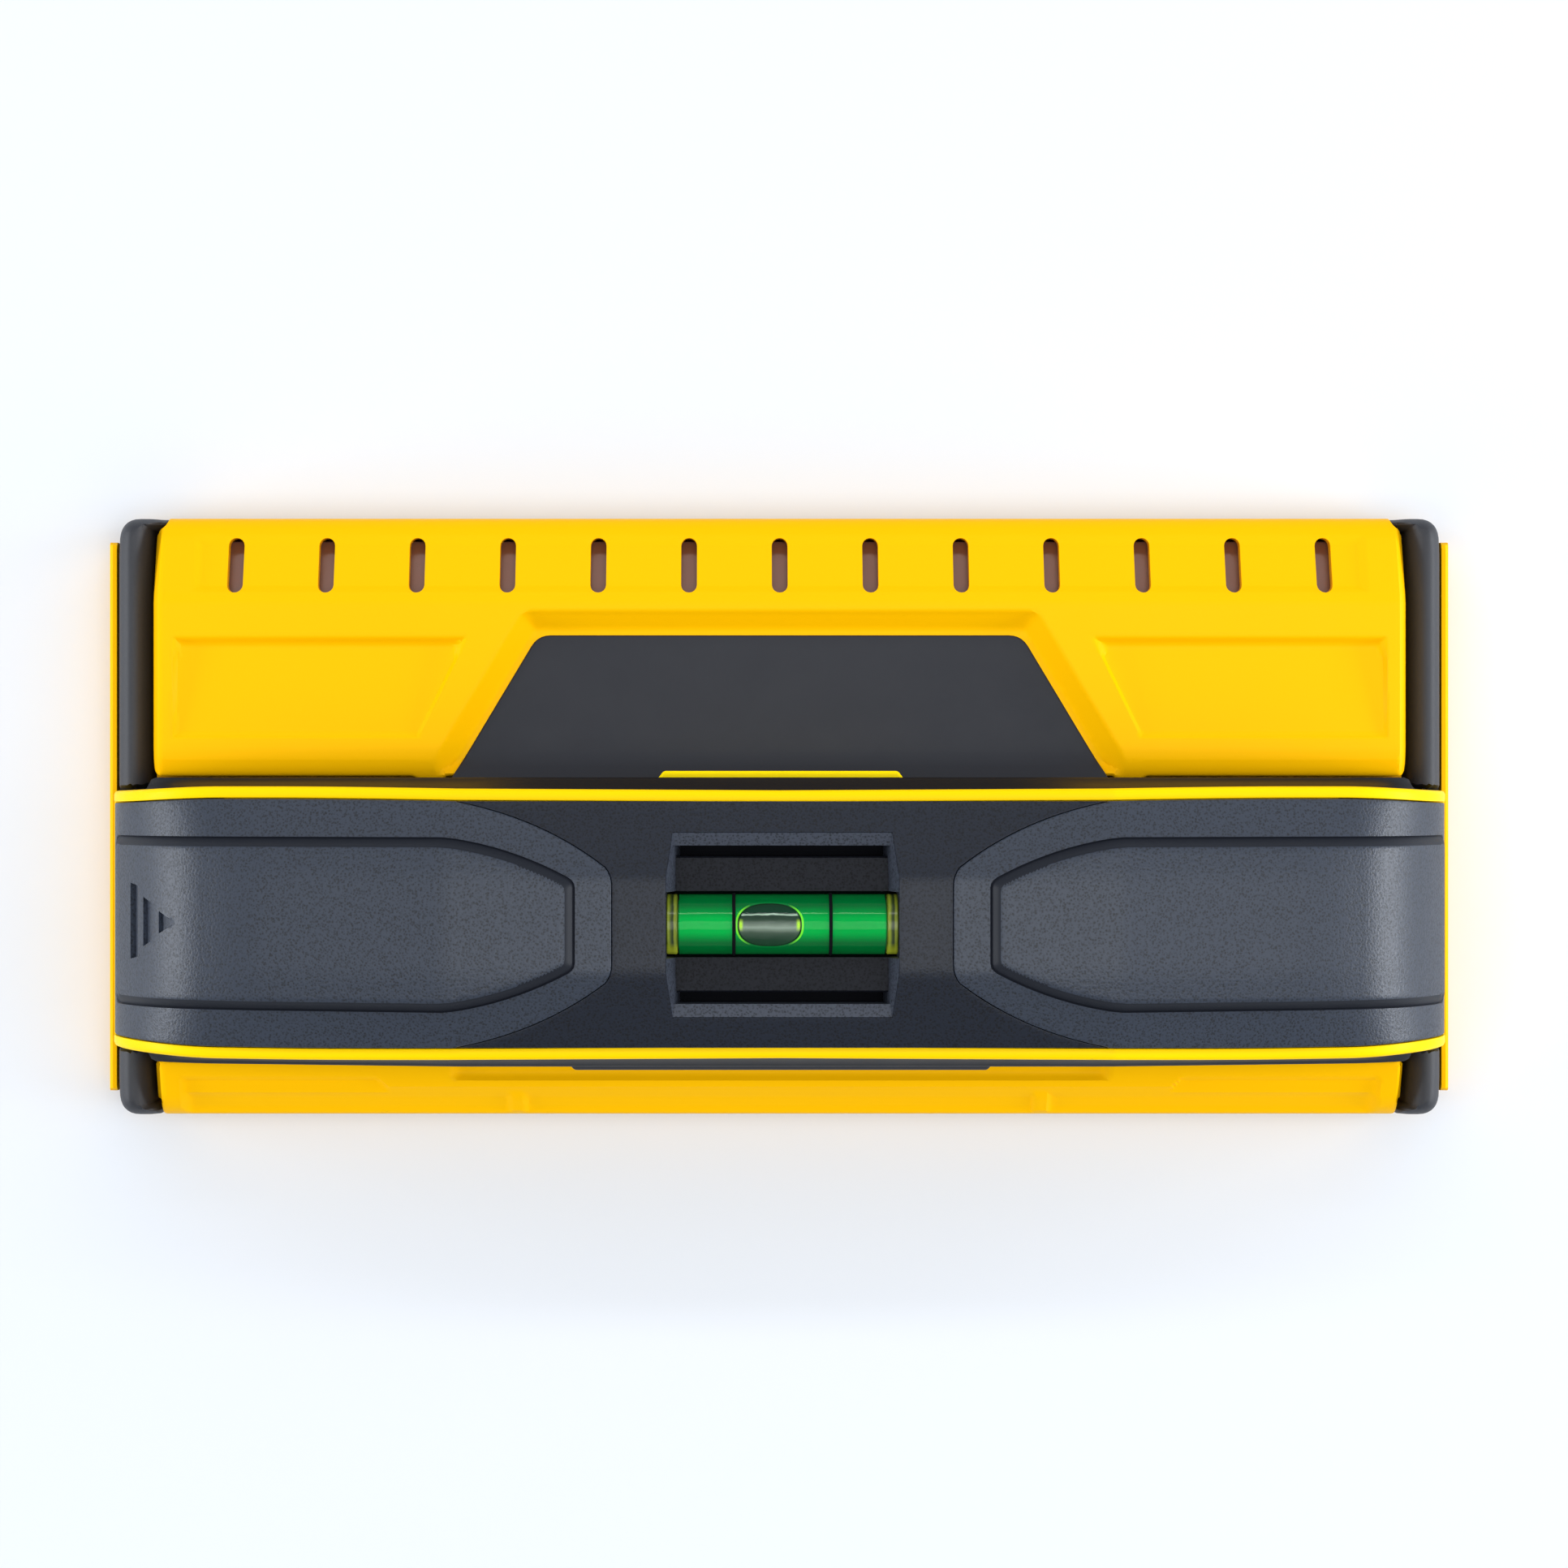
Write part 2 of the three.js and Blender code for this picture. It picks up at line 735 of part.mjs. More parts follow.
function handleBase() {
  const half = [20, arch.bend, 55, 66, 72, 74.5, 77, 79.5, 81.8, 83.6, handle.endFace];
  const stations = [...half.map((x) => -x).reverse(), ...half];
  const above = arch.top + beyond;
  const reach = handle.endFace - handle.endWall;
  const sill = arch.endHeight + trim.endBar - 2 * clearance;
  const inner = [-handle.innerHalf, handle.innerHalf];
  let shell = loft(stations.map(handleRing));
  shell = shell.subtract(symmetricBlock(reach, ...inner, 0, above));
  shell = shell.subtract(symmetricBlock(housing.halfLength, ...inner, sill, above));
  const way = [button.low - clearance, button.high + clearance];
  return shell.subtract(symmetricBlock(button.half + clearance, handle.buttonWay, beyond * 5, ...way));
}

// A solid through rings of points that lie in planes of constant x.
function loft(rings) {
  const count = rings[0].length;
  const positions = rings.flat().flatMap((point) => point.toArray());
  const index = [];
  for (let ring = 0; ring < rings.length - 1; ring += 1) {
    for (let corner = 0; corner < count; corner += 1) {
      const next = (corner + 1) % count;
      const a = ring * count + corner;
      const b = ring * count + next;
      index.push(a, b, b + count, a, b + count, a + count);
    }
  }
  const outline = rings[0].map((point) => new THREE.Vector2(point.y, point.z));
  const cap = THREE.ShapeUtils.triangulateShape(outline, []);
  const lastRing = (rings.length - 1) * count;
  for (const [a, b, c] of cap) {
    index.push(a, c, b);
    index.push(lastRing + a, lastRing + b, lastRing + c);
  }
  const geometry = new THREE.BufferGeometry();
  geometry.setAttribute('position', new THREE.Float32BufferAttribute(positions, 3));
  geometry.setIndex(index);
  return toSolid(geometry);
}

function trimFrame() {
  const opening = (x) => trimHalfWidth(x) - trim.rim;
  const plate = archStrip(-archRun, archRun, trimHalfWidth, -trim.thickness, 0);
  const openRun = archRun - trim.endBar;
  const ledgeRun = archRun - trim.ledgeEnd;
  const above = archStrip(-openRun, openRun, opening, trim.ledgeTop, beyond);
  const through = archStrip(-openRun, openRun, (x) => opening(x) - trim.ledge, -beyond, beyond);
  let frame = plate.subtract(above).subtract(through);
  for (const side of [-1, 1]) {
    const runs = [side * ledgeRun, side * openRun].sort((a, b) => a - b);
    frame = frame.subtract(archStrip(...runs, opening, -beyond, beyond));
  }
  return frame;
}

// The plan outline of a grip: straight sides, then a curve in to a blunt tip.
function gripOutline(side, grow) {
  const far = housing.halfLength + 2;
  const tipX = gripTip.x - grow;
  const wide = trim.halfWidth + 2;
  const shape = new THREE.Shape();
  shape.moveTo(side * far, -wide);
  shape.lineTo(side * (gripTip.rootX + 1), -wide);
  shape.lineTo(side * (gripTip.rootX - grow), -gripTip.rootHalf - grow);
  shape.quadraticCurveTo(
    side * (gripTip.controlX - grow), -gripTip.controlHalf - grow, side * tipX, -gripTip.halfWidth - grow,
  );
  shape.lineTo(side * tipX, gripTip.halfWidth + grow);
  shape.quadraticCurveTo(
    side * (gripTip.controlX - grow), gripTip.controlHalf + grow,
    side * (gripTip.rootX - grow), gripTip.rootHalf + grow,
  );
  shape.lineTo(side * (gripTip.rootX + 1), wide);
  shape.lineTo(side * far, wide);
  shape.closePath();
  return shape;
}

// The raised pad on a grip, blunt at the end and drawn in at the tip.
function padOutline(side) {
  return polygon([
    [side * pad.startX, -pad.halfWidth], [side * pad.shoulderX, -pad.halfWidth],
    [side * pad.cheekX, -pad.cheekHalf], [side * pad.tipX, -pad.tipHalf],
    [side * pad.tipX, pad.tipHalf], [side * pad.cheekX, pad.cheekHalf],
    [side * pad.shoulderX, pad.halfWidth], [side * pad.startX, pad.halfWidth],
  ]);
}

function grip(side) {
  const endRun = archRun - trim.endBar - clearance;
  const runs = [side * gripTip.x * 0.9, side * endRun].sort((a, b) => a - b);
  const outline = prism(gripOutline(side, 0), 0, arch.top + 2 * beyond, 8);
  const skin = crownShell(...runs, clearance, 0, crown.thickness).intersect(outline);
  const raised = crownShell(...runs, pad.edgeGap, pad.rise, crown.thickness);
  const padEnd = prism(padOutline(side), 0, arch.top + 2 * beyond);
  return skin.add(raised.intersect(padEnd));
}

function centreCover() {
  const run = arch.bend + 2;
  const above = arch.top + 2 * beyond;
  const { sideHalf, bulgeHalf, cornerHalf, half, wellHalf, bevelFoot } = windowWell;
  const { wallX, wallY, wallFoot, wallDepth } = windowWell;
  let cover = crownShell(-run, run, clearance, -coverStep, crown.thickness);
  for (const side of [-1, 1]) {
    cover = cover.subtract(prism(gripOutline(side, clearance), 0, above, 8));
  }
  const deep = crownShell(-wallX - 1, wallX + 1, clearance, -coverStep, wallDepth);
  cover = cover.add(deep.intersect(symmetricBlock(wallX, -wallY, wallY, wallFoot, above)));
  const mouth = [
    [-bulgeHalf, -crown.flatHalf], [-cornerHalf, -half], [cornerHalf, -half],
    [bulgeHalf, -crown.flatHalf], [bulgeHalf, crown.flatHalf], [cornerHalf, half],
    [-cornerHalf, half], [-bulgeHalf, crown.flatHalf],
  ];
  const mouthTop = arch.top + crown.rise;
  const below = cradle.bottom - 1;
  const notch = vial.radius + clearance;
  cover = cover.subtract(taperedCut(mouth, sideHalf / bulgeHalf, wellHalf / half, bevelFoot, mouthTop));
  cover = cover.subtract(symmetricBlock(sideHalf, -wellHalf, wellHalf, below, above));
  return cover.subtract(symmetricBlock(vial.halfLength + clearance, -notch, notch, below, above));
}

// A cut that narrows downwards: the mouth lies at the upper level and continues straight above it.
function taperedCut(mouth, shrinkX, shrinkY, low, high) {
  const levels = [
    { z: low, x: shrinkX, y: shrinkY },
    { z: high, x: 1, y: 1 },
    { z: high + beyond, x: 1, y: 1 },
  ];
  const count = mouth.length;
  const ringAt = ({ z, x, y }) => mouth.flatMap((point) => [point[0] * x, point[1] * y, z]);
  const positions = levels.flatMap(ringAt);
  const index = [];
  for (let level = 0; level < levels.length - 1; level += 1) {
    for (let corner = 0; corner < count; corner += 1) {
      const next = (corner + 1) % count;
      const a = level * count + corner;
      const b = level * count + next;
      index.push(a, b, b + count, a, b + count, a + count);
    }
  }
  const top = (levels.length - 1) * count;
  for (let corner = 1; corner < count - 1; corner += 1) {
    index.push(0, corner + 1, corner);
    index.push(top, top + corner, top + corner + 1);
  }
  const geometry = new THREE.BufferGeometry();
  geometry.setAttribute('position', new THREE.Float32BufferAttribute(positions, 3));
  geometry.setIndex(index);
  return toSolid(geometry);
}

function sidePadSolid() {
  const { half, outer, low, high, chamfer } = sidePad;
  const back = lip.waist + clearance;
  const outline = polygon([
    [-half, -back], [-half + chamfer, -outer], [half - chamfer, -outer], [half, -back],
  ]);
  return prism(outline, low, high);
}

function powerButton() {
  const { half, faceHalf, face, flange, flangeBack, low, high, chamfer } = button;
  const flangeFront = handle.innerHalf - clearance;
  const cap = polygon([
    [-half, flangeBack], [half, flangeBack], [half, face - chamfer], [faceHalf, face], [-faceHalf, face],
    [-half, face - chamfer],
  ]);
  const skirt = symmetricBlock(half + flange, flangeBack, flangeFront, low - flange, high + flange);
  return prism(cap, low, high).add(skirt);
}

// ---------------------------------------------------------------- spirit level

function latheAlongX(profile, segments) {
  const geometry = new THREE.LatheGeometry(profile.map(([x, r]) => new THREE.Vector2(r, x)), segments);
  geometry.rotateZ(-Math.PI / 2);
  return toSolid(geometry);
}

function tubeAlongX(x0, x1, inner, outer, segments) {
  const outerRod = rodAlongX(outer, x0, x1, 0, 0, segments);
  return outerRod.subtract(rodAlongX(inner, x0 - 1, x1 + 1, 0, 0, segments));
}

function vialCap(side) {
  const x = [side * (vial.halfLength - vial.capLength), side * vial.halfLength].sort((a, b) => a - b);
  return rodAlongX(vial.radius, ...x, 0, 0);
}

function vialLiquid() {
  const radius = vial.bore - clearance;
  const half = vial.halfLength - vial.capLength - clearance;
  const air = bubble.z - bubble.halfHeight - vial.z - 0.2;
  const belowAir = symmetricBlock(half + 1, -beyond, beyond, -beyond, air);
  return rodAlongX(radius, -half, half, 0, 0).intersect(belowAir);
}

function vialBubble() {
  const geometry = new THREE.SphereGeometry(1, 16, 8);
  geometry.scale(bubble.halfLength, bubble.halfWidth, bubble.halfHeight);
  return toSolid(geometry);
}

function vialCradle() {
  const { halfLength, halfWidth, footLength, footWidth, bottom, footTop } = cradle;
  const foot = symmetricBlock(footLength, -footWidth, footWidth, bottom, footTop);
  const rest = symmetricBlock(halfLength, -halfWidth, halfWidth, bottom, vial.z);
  const trough = rodAlongX(vial.radius + troughGap, -footLength - 1, footLength + 1, 0, vial.z);
  return foot.add(rest).subtract(trough);
}

// ---------------------------------------------------------------- power and electronics

function dryCell() {
  const half = cell.length / 2;
  const { radius, nubRadius, nubLength } = cell;
  return latheAlongX([
    [-half, 0], [-half, radius - 0.8], [-half + 0.5, radius], [half - 0.8, radius],
    [half, radius - 1.2], [half, nubRadius], [half + nubLength, nubRadius - 0.2], [half + nubLength, 0],
  ], 24);
}

function batteryTray() {
  const { left, right, half, low, high, leftWall, rightWall, wireGap, floor } = tray;
  const inLeft = left + leftWall;
  const inRight = right - rightWall;
  const above = high + 1;
  let solid = block(left, right, -half, half, low, high);
  for (const side of [-1, 1]) {
    const y = side * cell.pitch / 2;
    solid = solid.subtract(rodAlongX(cell.radius + clearance, inLeft, inRight, y, cell.z));
  }
  solid = solid.subtract(block(inLeft, inRight, -wireGap, wireGap, floor, above));
  for (const end of [inLeft, inRight - contact.slot]) {
    const wide = contact.bridgeHalf + clearance;
    solid = solid.subtract(block(end, end + contact.slot, -wide, wide, contact.slotFloor, above));
  }
  return solid.subtract(block(inRight - 1, right + 1, half - tray.notch, half + 1, low - 1, above));
}

// A coil of round wire whose axis lies along X.
function coil(x0, x1) {
  const { coilRadius: radius, coilTurns: turns, wire } = contact;
  const points = [];
  const steps = turns * 12;
  for (let step = 0; step <= steps; step += 1) {
    const angle = (step / steps) * turns * 2 * Math.PI;
    const x = THREE.MathUtils.lerp(x0, x1, step / steps);
    points.push(new THREE.Vector3(x, radius * Math.cos(angle), radius * Math.sin(angle)));
  }
  return wireAlong(points, wire, steps, 6);
}

function wireAlong(points, radius, steps, sides) {
  const section = new THREE.Shape();
  for (let side = 0; side < sides; side += 1) {
    const angle = (side / sides) * 2 * Math.PI;
    const corner = [radius * Math.cos(angle), radius * Math.sin(angle)];
    if (side === 0) {
      section.moveTo(...corner);
    } else {
      section.lineTo(...corner);
    }
  }
  section.closePath();
  const extrudePath = new THREE.CatmullRomCurve3(points);
  return toSolid(new THREE.ExtrudeGeometry(section, { steps, extrudePath, bevelEnabled: false }));
}

function bridgeContact() {
  const x = tray.left + tray.leftWall + (contact.slot - contact.wire) / 2 - 0.05;
  const { wire, bridgeHalf, low, high } = contact;
  const plate = block(x, x + wire, -bridgeHalf, bridgeHalf, low, high);
  const spring = coil(x + wire + 0.1, cellsEnd.left + cellsEnd.springGap - clearance);
  return plate.add(spring.translate(0, cell.pitch / 2, cell.z));
}

function endContact(side) {
  const x = tray.right - contact.inset;
  const y = side * cell.pitch / 2;
  const { wire, halfWidth, low, high } = contact;
  return block(x, x + wire, y - halfWidth, y + halfWidth, low, high);
}

function springContact() {
  const spring = coil(cellsEnd.right - cellsEnd.springGap + clearance, tray.right - contact.inset - 0.1);
  return endContact(-1).add(spring.translate(0, -cell.pitch / 2, cell.z));
}

// A lead from an end contact, down past the tray's end and along the floor to the socket.
function batteryLead(side) {
  const start = side * cell.pitch / 2;
  const points = [
    [tray.right - 0.2, start * 0.8, 26.6],
    [tray.right + 2.3, start * 0.75, 25],
    [tray.right + 3.3, start * 0.6, 18.5],
    [-6, start * 0.45, 15.4],
    [10, side * 2.4, 14.8],
    [24, side * 1.8, 14.6],
    [lead.socketX - 0.6, side * 1.5, 12.6],
    [lead.socketX, side * 1.5, 10.3],
  ].map((point) => new THREE.Vector3(...point));
  return wireAlong(points, lead.radius, lead.steps, lead.sides);
}

function mainBoard() {
  const outline = roundedOutline([
    [-board.half, board.front, board.corner], [board.half, board.front, board.corner],
    [board.half, board.back, board.corner], [-board.half, board.back, board.corner],
  ]);
  return prism(outline, board.bottom, board.bottom + board.thickness, 3);
}

function lensBar() {
  const { half, halfWidth, lens, lensThickness } = lightStack;
  return symmetricBlock(half, -halfWidth, halfWidth, lens - lensThickness, lens);
}

function indicatorBoard() {
  const { half, halfWidth, ledBase, boardThickness } = lightStack;
  const top = ledBase - clearance;
  return symmetricBlock(half, -halfWidth, halfWidth, top - boardThickness, top);
}

function indicatorLight() {
  const profile = [[0, 0], [1.8, 0], [1.8, 0.5], [1.5, 0.6], [1.5, 1.5], [1.1, 2.2], [0, 2.6]];
  const geometry = new THREE.LatheGeometry(profile.map(([r, z]) => new THREE.Vector2(r, z)), 12);
  geometry.rotateX(Math.PI / 2);
  return toSolid(geometry);
}

function housingScrew() {
  const head = rod(screw.headRadius, screw.headLow, screw.headHigh);
  return head.add(rod(screw.radius, screw.headLow + clearance, screw.tip, 0, 0, 10));
}

function switchBoardSolid() {
  const { half, back, front, low, high } = switchBoard;
  return symmetricBlock(half, back, front, low, high);
}

function pushSwitch() {
  const { half, front, plungerRadius, plungerReach } = pushKey;
  const middle = (button.low + button.high) / 2;
  const can = symmetricBlock(half, switchBoard.front + clearance, front, middle - half, middle + half);
  const plunger = new THREE.CylinderGeometry(plungerRadius, plungerRadius, 2 * plungerReach, 12);
  plunger.translate(0, front, middle);
  return can.add(toSolid(plunger));
}

// ---------------------------------------------------------------- assembly

const scanner = new THREE.Group();

function piece(parent, name, solid, material) {
  const mesh = new THREE.Mesh(toGeometry(solid), material);
  mesh.name = name;
  parent.add(mesh);
  return mesh;
}

piece(scanner, 'back_cover', backCover(), finish(colours.yellow, 0.45));
piece(scanner, 'front_housing', frontHousing(), finish(colours.yellow, 0.42));
piece(scanner, 'label_plate', labelPlate(), finish(colours.rubber, 0.55));
piece(scanner, 'right_bumper', bumperSolid(1), finish(colours.rubber, 0.6));
piece(scanner, 'left_bumper', bumperSolid(-1), finish(colours.rubber, 0.6)).rotation.z = Math.PI;
piece(scanner, 'main_board', mainBoard(), finish(colours.board, 0.5));

screwPlaces.forEach(([x, y], index) => {
  const name = `housing_screw_${index + 1}`;
  piece(scanner, name, housingScrew(), finish(colours.steel, 0.35, 1)).position.set(x, y, 0);
});

function chipBlock(half, depth, height) {
  return symmetricBlock(half, -depth, depth, 0, height);
}

const boardTop = board.bottom + board.thickness + clearance;
const processorBlock = chipBlock(chips.processorHalf, chips.processorHalf, chips.height);
const amplifierBlock = chipBlock(chips.amplifierHalf, chips.amplifierDepth, chips.height);
const socketBlock = chipBlock(chips.socketHalf, chips.socketDepth, chips.socketHeight);
piece(scanner, 'processor_chip', processorBlock, finish(colours.chip, 0.5)).position.set(-20, 4, boardTop);
piece(scanner, 'amplifier_chip', amplifierBlock, finish(colours.chip, 0.5)).position.set(8, 4, boardTop);
const socket = piece(scanner, 'battery_socket', socketBlock, finish(colours.white, 0.5));
socket.position.set(lead.socketX, handle.y, boardTop);

const lights = new THREE.Group();
lights.position.set(0, slotStrip.middle - lightStack.backset, housing.deckHeight - lightStack.below);
lights.rotation.x = -slots.tilt;
scanner.add(lights);
piece(lights, 'lens_bar', lensBar(), finish(colours.smoke, 0.2));
piece(lights, 'indicator_board', indicatorBoard(), finish(colours.board, 0.5));
for (let index = 0; index < slots.count; index += 1) {
  const name = `led_${String(index + 1).padStart(2, '0')}`;
  const light = piece(lights, name, indicatorLight(), finish(colours.red, 0.3));
  light.position.set(slotX(index), 0, lightStack.ledBase);
}

const grasp = new THREE.Group();
grasp.position.y = handle.y;
scanner.add(grasp);
piece(grasp, 'handle_base', handleBase(), finish(colours.black, 0.55));
piece(grasp, 'trim_frame', trimFrame(), finish(colours.orangeYellow, 0.4));
piece(grasp, 'centre_cover', centreCover(), finish(colours.cover, 0.6));
piece(grasp, 'battery_door', grip(-1), finish(colours.grip, 0.65));
piece(grasp, 'right_grip', grip(1), finish(colours.grip, 0.65));
piece(grasp, 'side_pad', sidePadSolid(), finish(colours.rubber, 0.7));
piece(grasp, 'power_button', powerButton(), finish(colours.yellow, 0.45));
piece(grasp, 'push_switch', pushSwitch(), finish(colours.steel, 0.4, 0.6));
piece(grasp, 'switch_board', switchBoardSolid(), finish(colours.board, 0.5));
piece(grasp, 'battery_tray', batteryTray(), finish(colours.black, 0.6));
piece(grasp, 'bridge_contact', bridgeContact(), finish(colours.steel, 0.3, 1));
piece(grasp, 'spring_contact', springContact(), finish(colours.steel, 0.3, 1));
piece(grasp, 'plus_contact', endContact(1), finish(colours.steel, 0.3, 1));
piece(grasp, 'lead_plus', batteryLead(1), finish(colours.red, 0.5));
piece(grasp, 'lead_minus', batteryLead(-1), finish(colours.chip, 0.5));
piece(grasp, 'vial_cradle', vialCradle(), finish(colours.black, 0.25));

const cellCentre = cellsEnd.left + cellsEnd.springGap + cell.length / 2;
const upperCell = piece(grasp, 'battery_1', dryCell(), finish(colours.cellSleeve, 0.35, 0.4));
upperCell.position.set(cellCentre, cell.pitch / 2, cell.z);
const lowerCell = piece(grasp, 'battery_2', dryCell(), finish(colours.cellSleeve, 0.35, 0.4));
lowerCell.position.set(cellsEnd.left + cellsEnd.right - cellCentre, -cell.pitch / 2, cell.z);
lowerCell.rotation.z = Math.PI;

const level = new THREE.Group();
level.position.z = vial.z;
grasp.add(level);
const tubeHalf = vial.halfLength - vial.capLength - 0.1;
const tube = tubeAlongX(-tubeHalf, tubeHalf, vial.bore, vial.radius, 24);
piece(level, 'vial_tube', tube, finish(colours.clear, 0.05));
piece(level, 'vial_liquid', vialLiquid(), finish(colours.green, 0.05));
const air = piece(level, 'vial_bubble', vialBubble(), finish(colours.clear, 0.05));
air.position.set(bubble.x, 0, bubble.z - vial.z);
piece(level, 'vial_cap_left', vialCap(-1), finish(colours.green, 0.4));
piece(level, 'vial_cap_right', vialCap(1), finish(colours.green, 0.4));
for (const [name, side] of [['vial_mark_left', -1], ['vial_mark_right', 1]]) {
  const half = vial.markWidth / 2;
  const ring = tubeAlongX(-half, half, vial.radius + 0.05, vial.radius + 0.2, 24);
  piece(level, name, ring, finish(colours.chip, 0.4)).position.x = side * vial.markX;
}

export default scanner;
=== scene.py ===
"""Looks of the wide stud finder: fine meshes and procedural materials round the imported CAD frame."""
import json
import math

import bmesh
import bpy
import numpy as np
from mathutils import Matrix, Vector
from mathutils.geometry import delaunay_2d_cdt


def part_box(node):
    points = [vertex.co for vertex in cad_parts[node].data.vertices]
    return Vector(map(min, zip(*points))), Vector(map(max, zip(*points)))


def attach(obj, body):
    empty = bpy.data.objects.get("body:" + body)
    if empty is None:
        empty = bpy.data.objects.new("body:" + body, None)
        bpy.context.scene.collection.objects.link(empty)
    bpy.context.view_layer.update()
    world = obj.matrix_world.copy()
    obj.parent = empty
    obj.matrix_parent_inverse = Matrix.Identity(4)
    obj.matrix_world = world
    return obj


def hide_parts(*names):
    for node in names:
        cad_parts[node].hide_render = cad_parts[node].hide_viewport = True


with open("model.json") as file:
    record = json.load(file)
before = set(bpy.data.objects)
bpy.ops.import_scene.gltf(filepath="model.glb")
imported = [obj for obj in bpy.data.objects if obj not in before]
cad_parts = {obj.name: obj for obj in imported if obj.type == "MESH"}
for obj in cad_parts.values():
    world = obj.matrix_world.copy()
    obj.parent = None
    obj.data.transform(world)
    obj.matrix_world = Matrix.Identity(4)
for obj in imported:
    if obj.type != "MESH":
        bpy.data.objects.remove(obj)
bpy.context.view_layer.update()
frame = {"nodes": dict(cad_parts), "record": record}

MM = 0.001
BODY_OF = {node: body for body, nodes in frame["record"]["behaviour"]["bodies"].items() for node in nodes}


# ---------------------------------------------------------------- sizes, in millimetres, from the frame


def box(node):
    """Lowest and highest corner of a CAD node, in millimetres."""
    low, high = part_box(node)
    return np.array(low) / MM, np.array(high) / MM


TRIM_LOW, TRIM_HIGH = box("trim_frame")
HOUSING_HIGH = box("front_housing")[1]
COVER_HIGH = box("back_cover")[1]
BUMPER_LOW, BUMPER_HIGH = box("right_bumper")
LABEL_LOW, LABEL_HIGH = box("label_plate")
BUTTON_LOW, BUTTON_HIGH = box("power_button")
PAD_LOW, PAD_HIGH = box("side_pad")
BASE_LOW, BASE_HIGH = box("handle_base")
VIAL_LOW, VIAL_HIGH = box("vial_tube")

HALF_LENGTH = COVER_HIGH[0]
HALF_WIDTH = COVER_HIGH[1]
EDGE_Y = HALF_WIDTH - 0.02
HANDLE_Y = (TRIM_LOW[1] + TRIM_HIGH[1]) / 2
DECK = HOUSING_HIGH[2]
SPLIT = 5.3
GAP = 0.3
WALL = 2.0
EDGE_ROUND = 0.35
SHARP_ANGLE, SOFT_SHARP_ANGLE, ROUND_SHARP_ANGLE = 32, 50, 80

# the arch: a flat middle, a bend to a straight ramp on each side, and a round shoulder at each end
ARCH_TOP = TRIM_HIGH[2]
ARCH_LOW = TRIM_LOW[2]
ARCH_BEND = 42.0
ARCH_SLOPE = math.radians(11.85)
BEND_RADIUS = 4.0
SHOULDER_RADIUS = 20.0
FLAT_RUN = ARCH_BEND - BEND_RADIUS * math.tan(ARCH_SLOPE / 2)
BEND_RUN = BEND_RADIUS * ARCH_SLOPE
BEND_X = FLAT_RUN + BEND_RADIUS * math.sin(ARCH_SLOPE)
BEND_Z = ARCH_TOP - BEND_RADIUS * (1 - math.cos(ARCH_SLOPE))
RAMP_RUN = (BEND_Z - ARCH_LOW - SHOULDER_RADIUS * math.cos(ARCH_SLOPE)) / math.sin(ARCH_SLOPE)
SHOULDER_X = BEND_X + RAMP_RUN * math.cos(ARCH_SLOPE) - SHOULDER_RADIUS * math.sin(ARCH_SLOPE)
SHOULDER_RUN = SHOULDER_RADIUS * (math.pi / 2 - ARCH_SLOPE)
ARCH_RUN = FLAT_RUN + BEND_RUN + RAMP_RUN + SHOULDER_RUN
BEND_BLEND = 0.05

# the trim: half its width, how much wider it is along the ramps, and how far it draws in at the ends
TRIM_HALF = 16.95
TRIM_SWELL, SWELL_START, SWELL_END = 0.5, 20, 66
TRIM_TAPER, TAPER_START, TAPER_END = 0.6, 72, 90
TRIM_RIM = 1.48
TRIM_DEPTH = 2.5
END_BAR = 2.0

# the crown of the grips: a flat top with a facet down each side, which fades out towards the ends
CROWN_RISE = 3.85
CROWN_END = -0.1
CROWN_FADE_START, CROWN_FADE_END = 36.0, 10.0
FLAT_HALF = 6.0
FACET_DROP = 0.316
FACET_BLEND = 0.3
SHELL_THICK = 1.9
SHELL_ROUND = 0.16

SLOT_COUNT = 13
SLOT_PITCH = 12.0
SLOT_WIDTH = 2.1
SLOT_START, SLOT_END = 29.6, 37.0
SLOTS = [SLOT_PITCH * (i - (SLOT_COUNT - 1) / 2) for i in range(SLOT_COUNT)]
STRIP_START, STRIP_BEND = 29.0, 37.0
STRIP_TILT = math.radians(20)


# ---------------------------------------------------------------- small maths


def smooth(low, high, value):
    """0 below low, 1 above high, and an even rise between."""
    t = np.clip((np.asarray(value, float) - low) / (high - low), 0, 1)
    return t * t * (3 - 2 * t)


def lerp(a, b, t):
    return a + (b - a) * t


def interp(value, points):
    """The height at a place along a profile of [place, height] points."""
    places, heights = zip(*points)
    return np.interp(value, places, heights)


def arc(cx, cy, radius, start, end, steps):
    angles = np.linspace(math.radians(start), math.radians(end), steps + 1)
    return [(cx + radius * math.cos(a), cy + radius * math.sin(a)) for a in angles]


def curve(start, control, end, steps):
    """A quadratic curve between two points."""
    p, c, q = (np.array(v, float) for v in (start, control, end))
    return [tuple((1 - t) ** 2 * p + 2 * t * (1 - t) * c + t * t * q) for t in np.linspace(0, 1, steps + 1)]


def rounded(corners, steps=5):
    """A closed outline from [x, y, radius] corners."""
    points = []
    count = len(corners)
    for i, (x, y, radius) in enumerate(corners):
        here = np.array((x, y), float)
        if radius <= 0:
            points.append((x, y))
            continue
        back = np.array(corners[i - 1][:2], float) - here
        ahead = np.array(corners[(i + 1) % count][:2], float) - here
        back /= np.linalg.norm(back)
        ahead /= np.linalg.norm(ahead)
        half = math.acos(float(np.clip(back @ ahead, -1, 1))) / 2
        reach = radius / math.tan(half)
        points += curve(here + back * reach, here, here + ahead * reach, steps)
    return points


def mirror(points):
    """The outline reflected in the plane x = 0, kept turning the same way."""
    return [(-x, y) for x, y in reversed(points)]


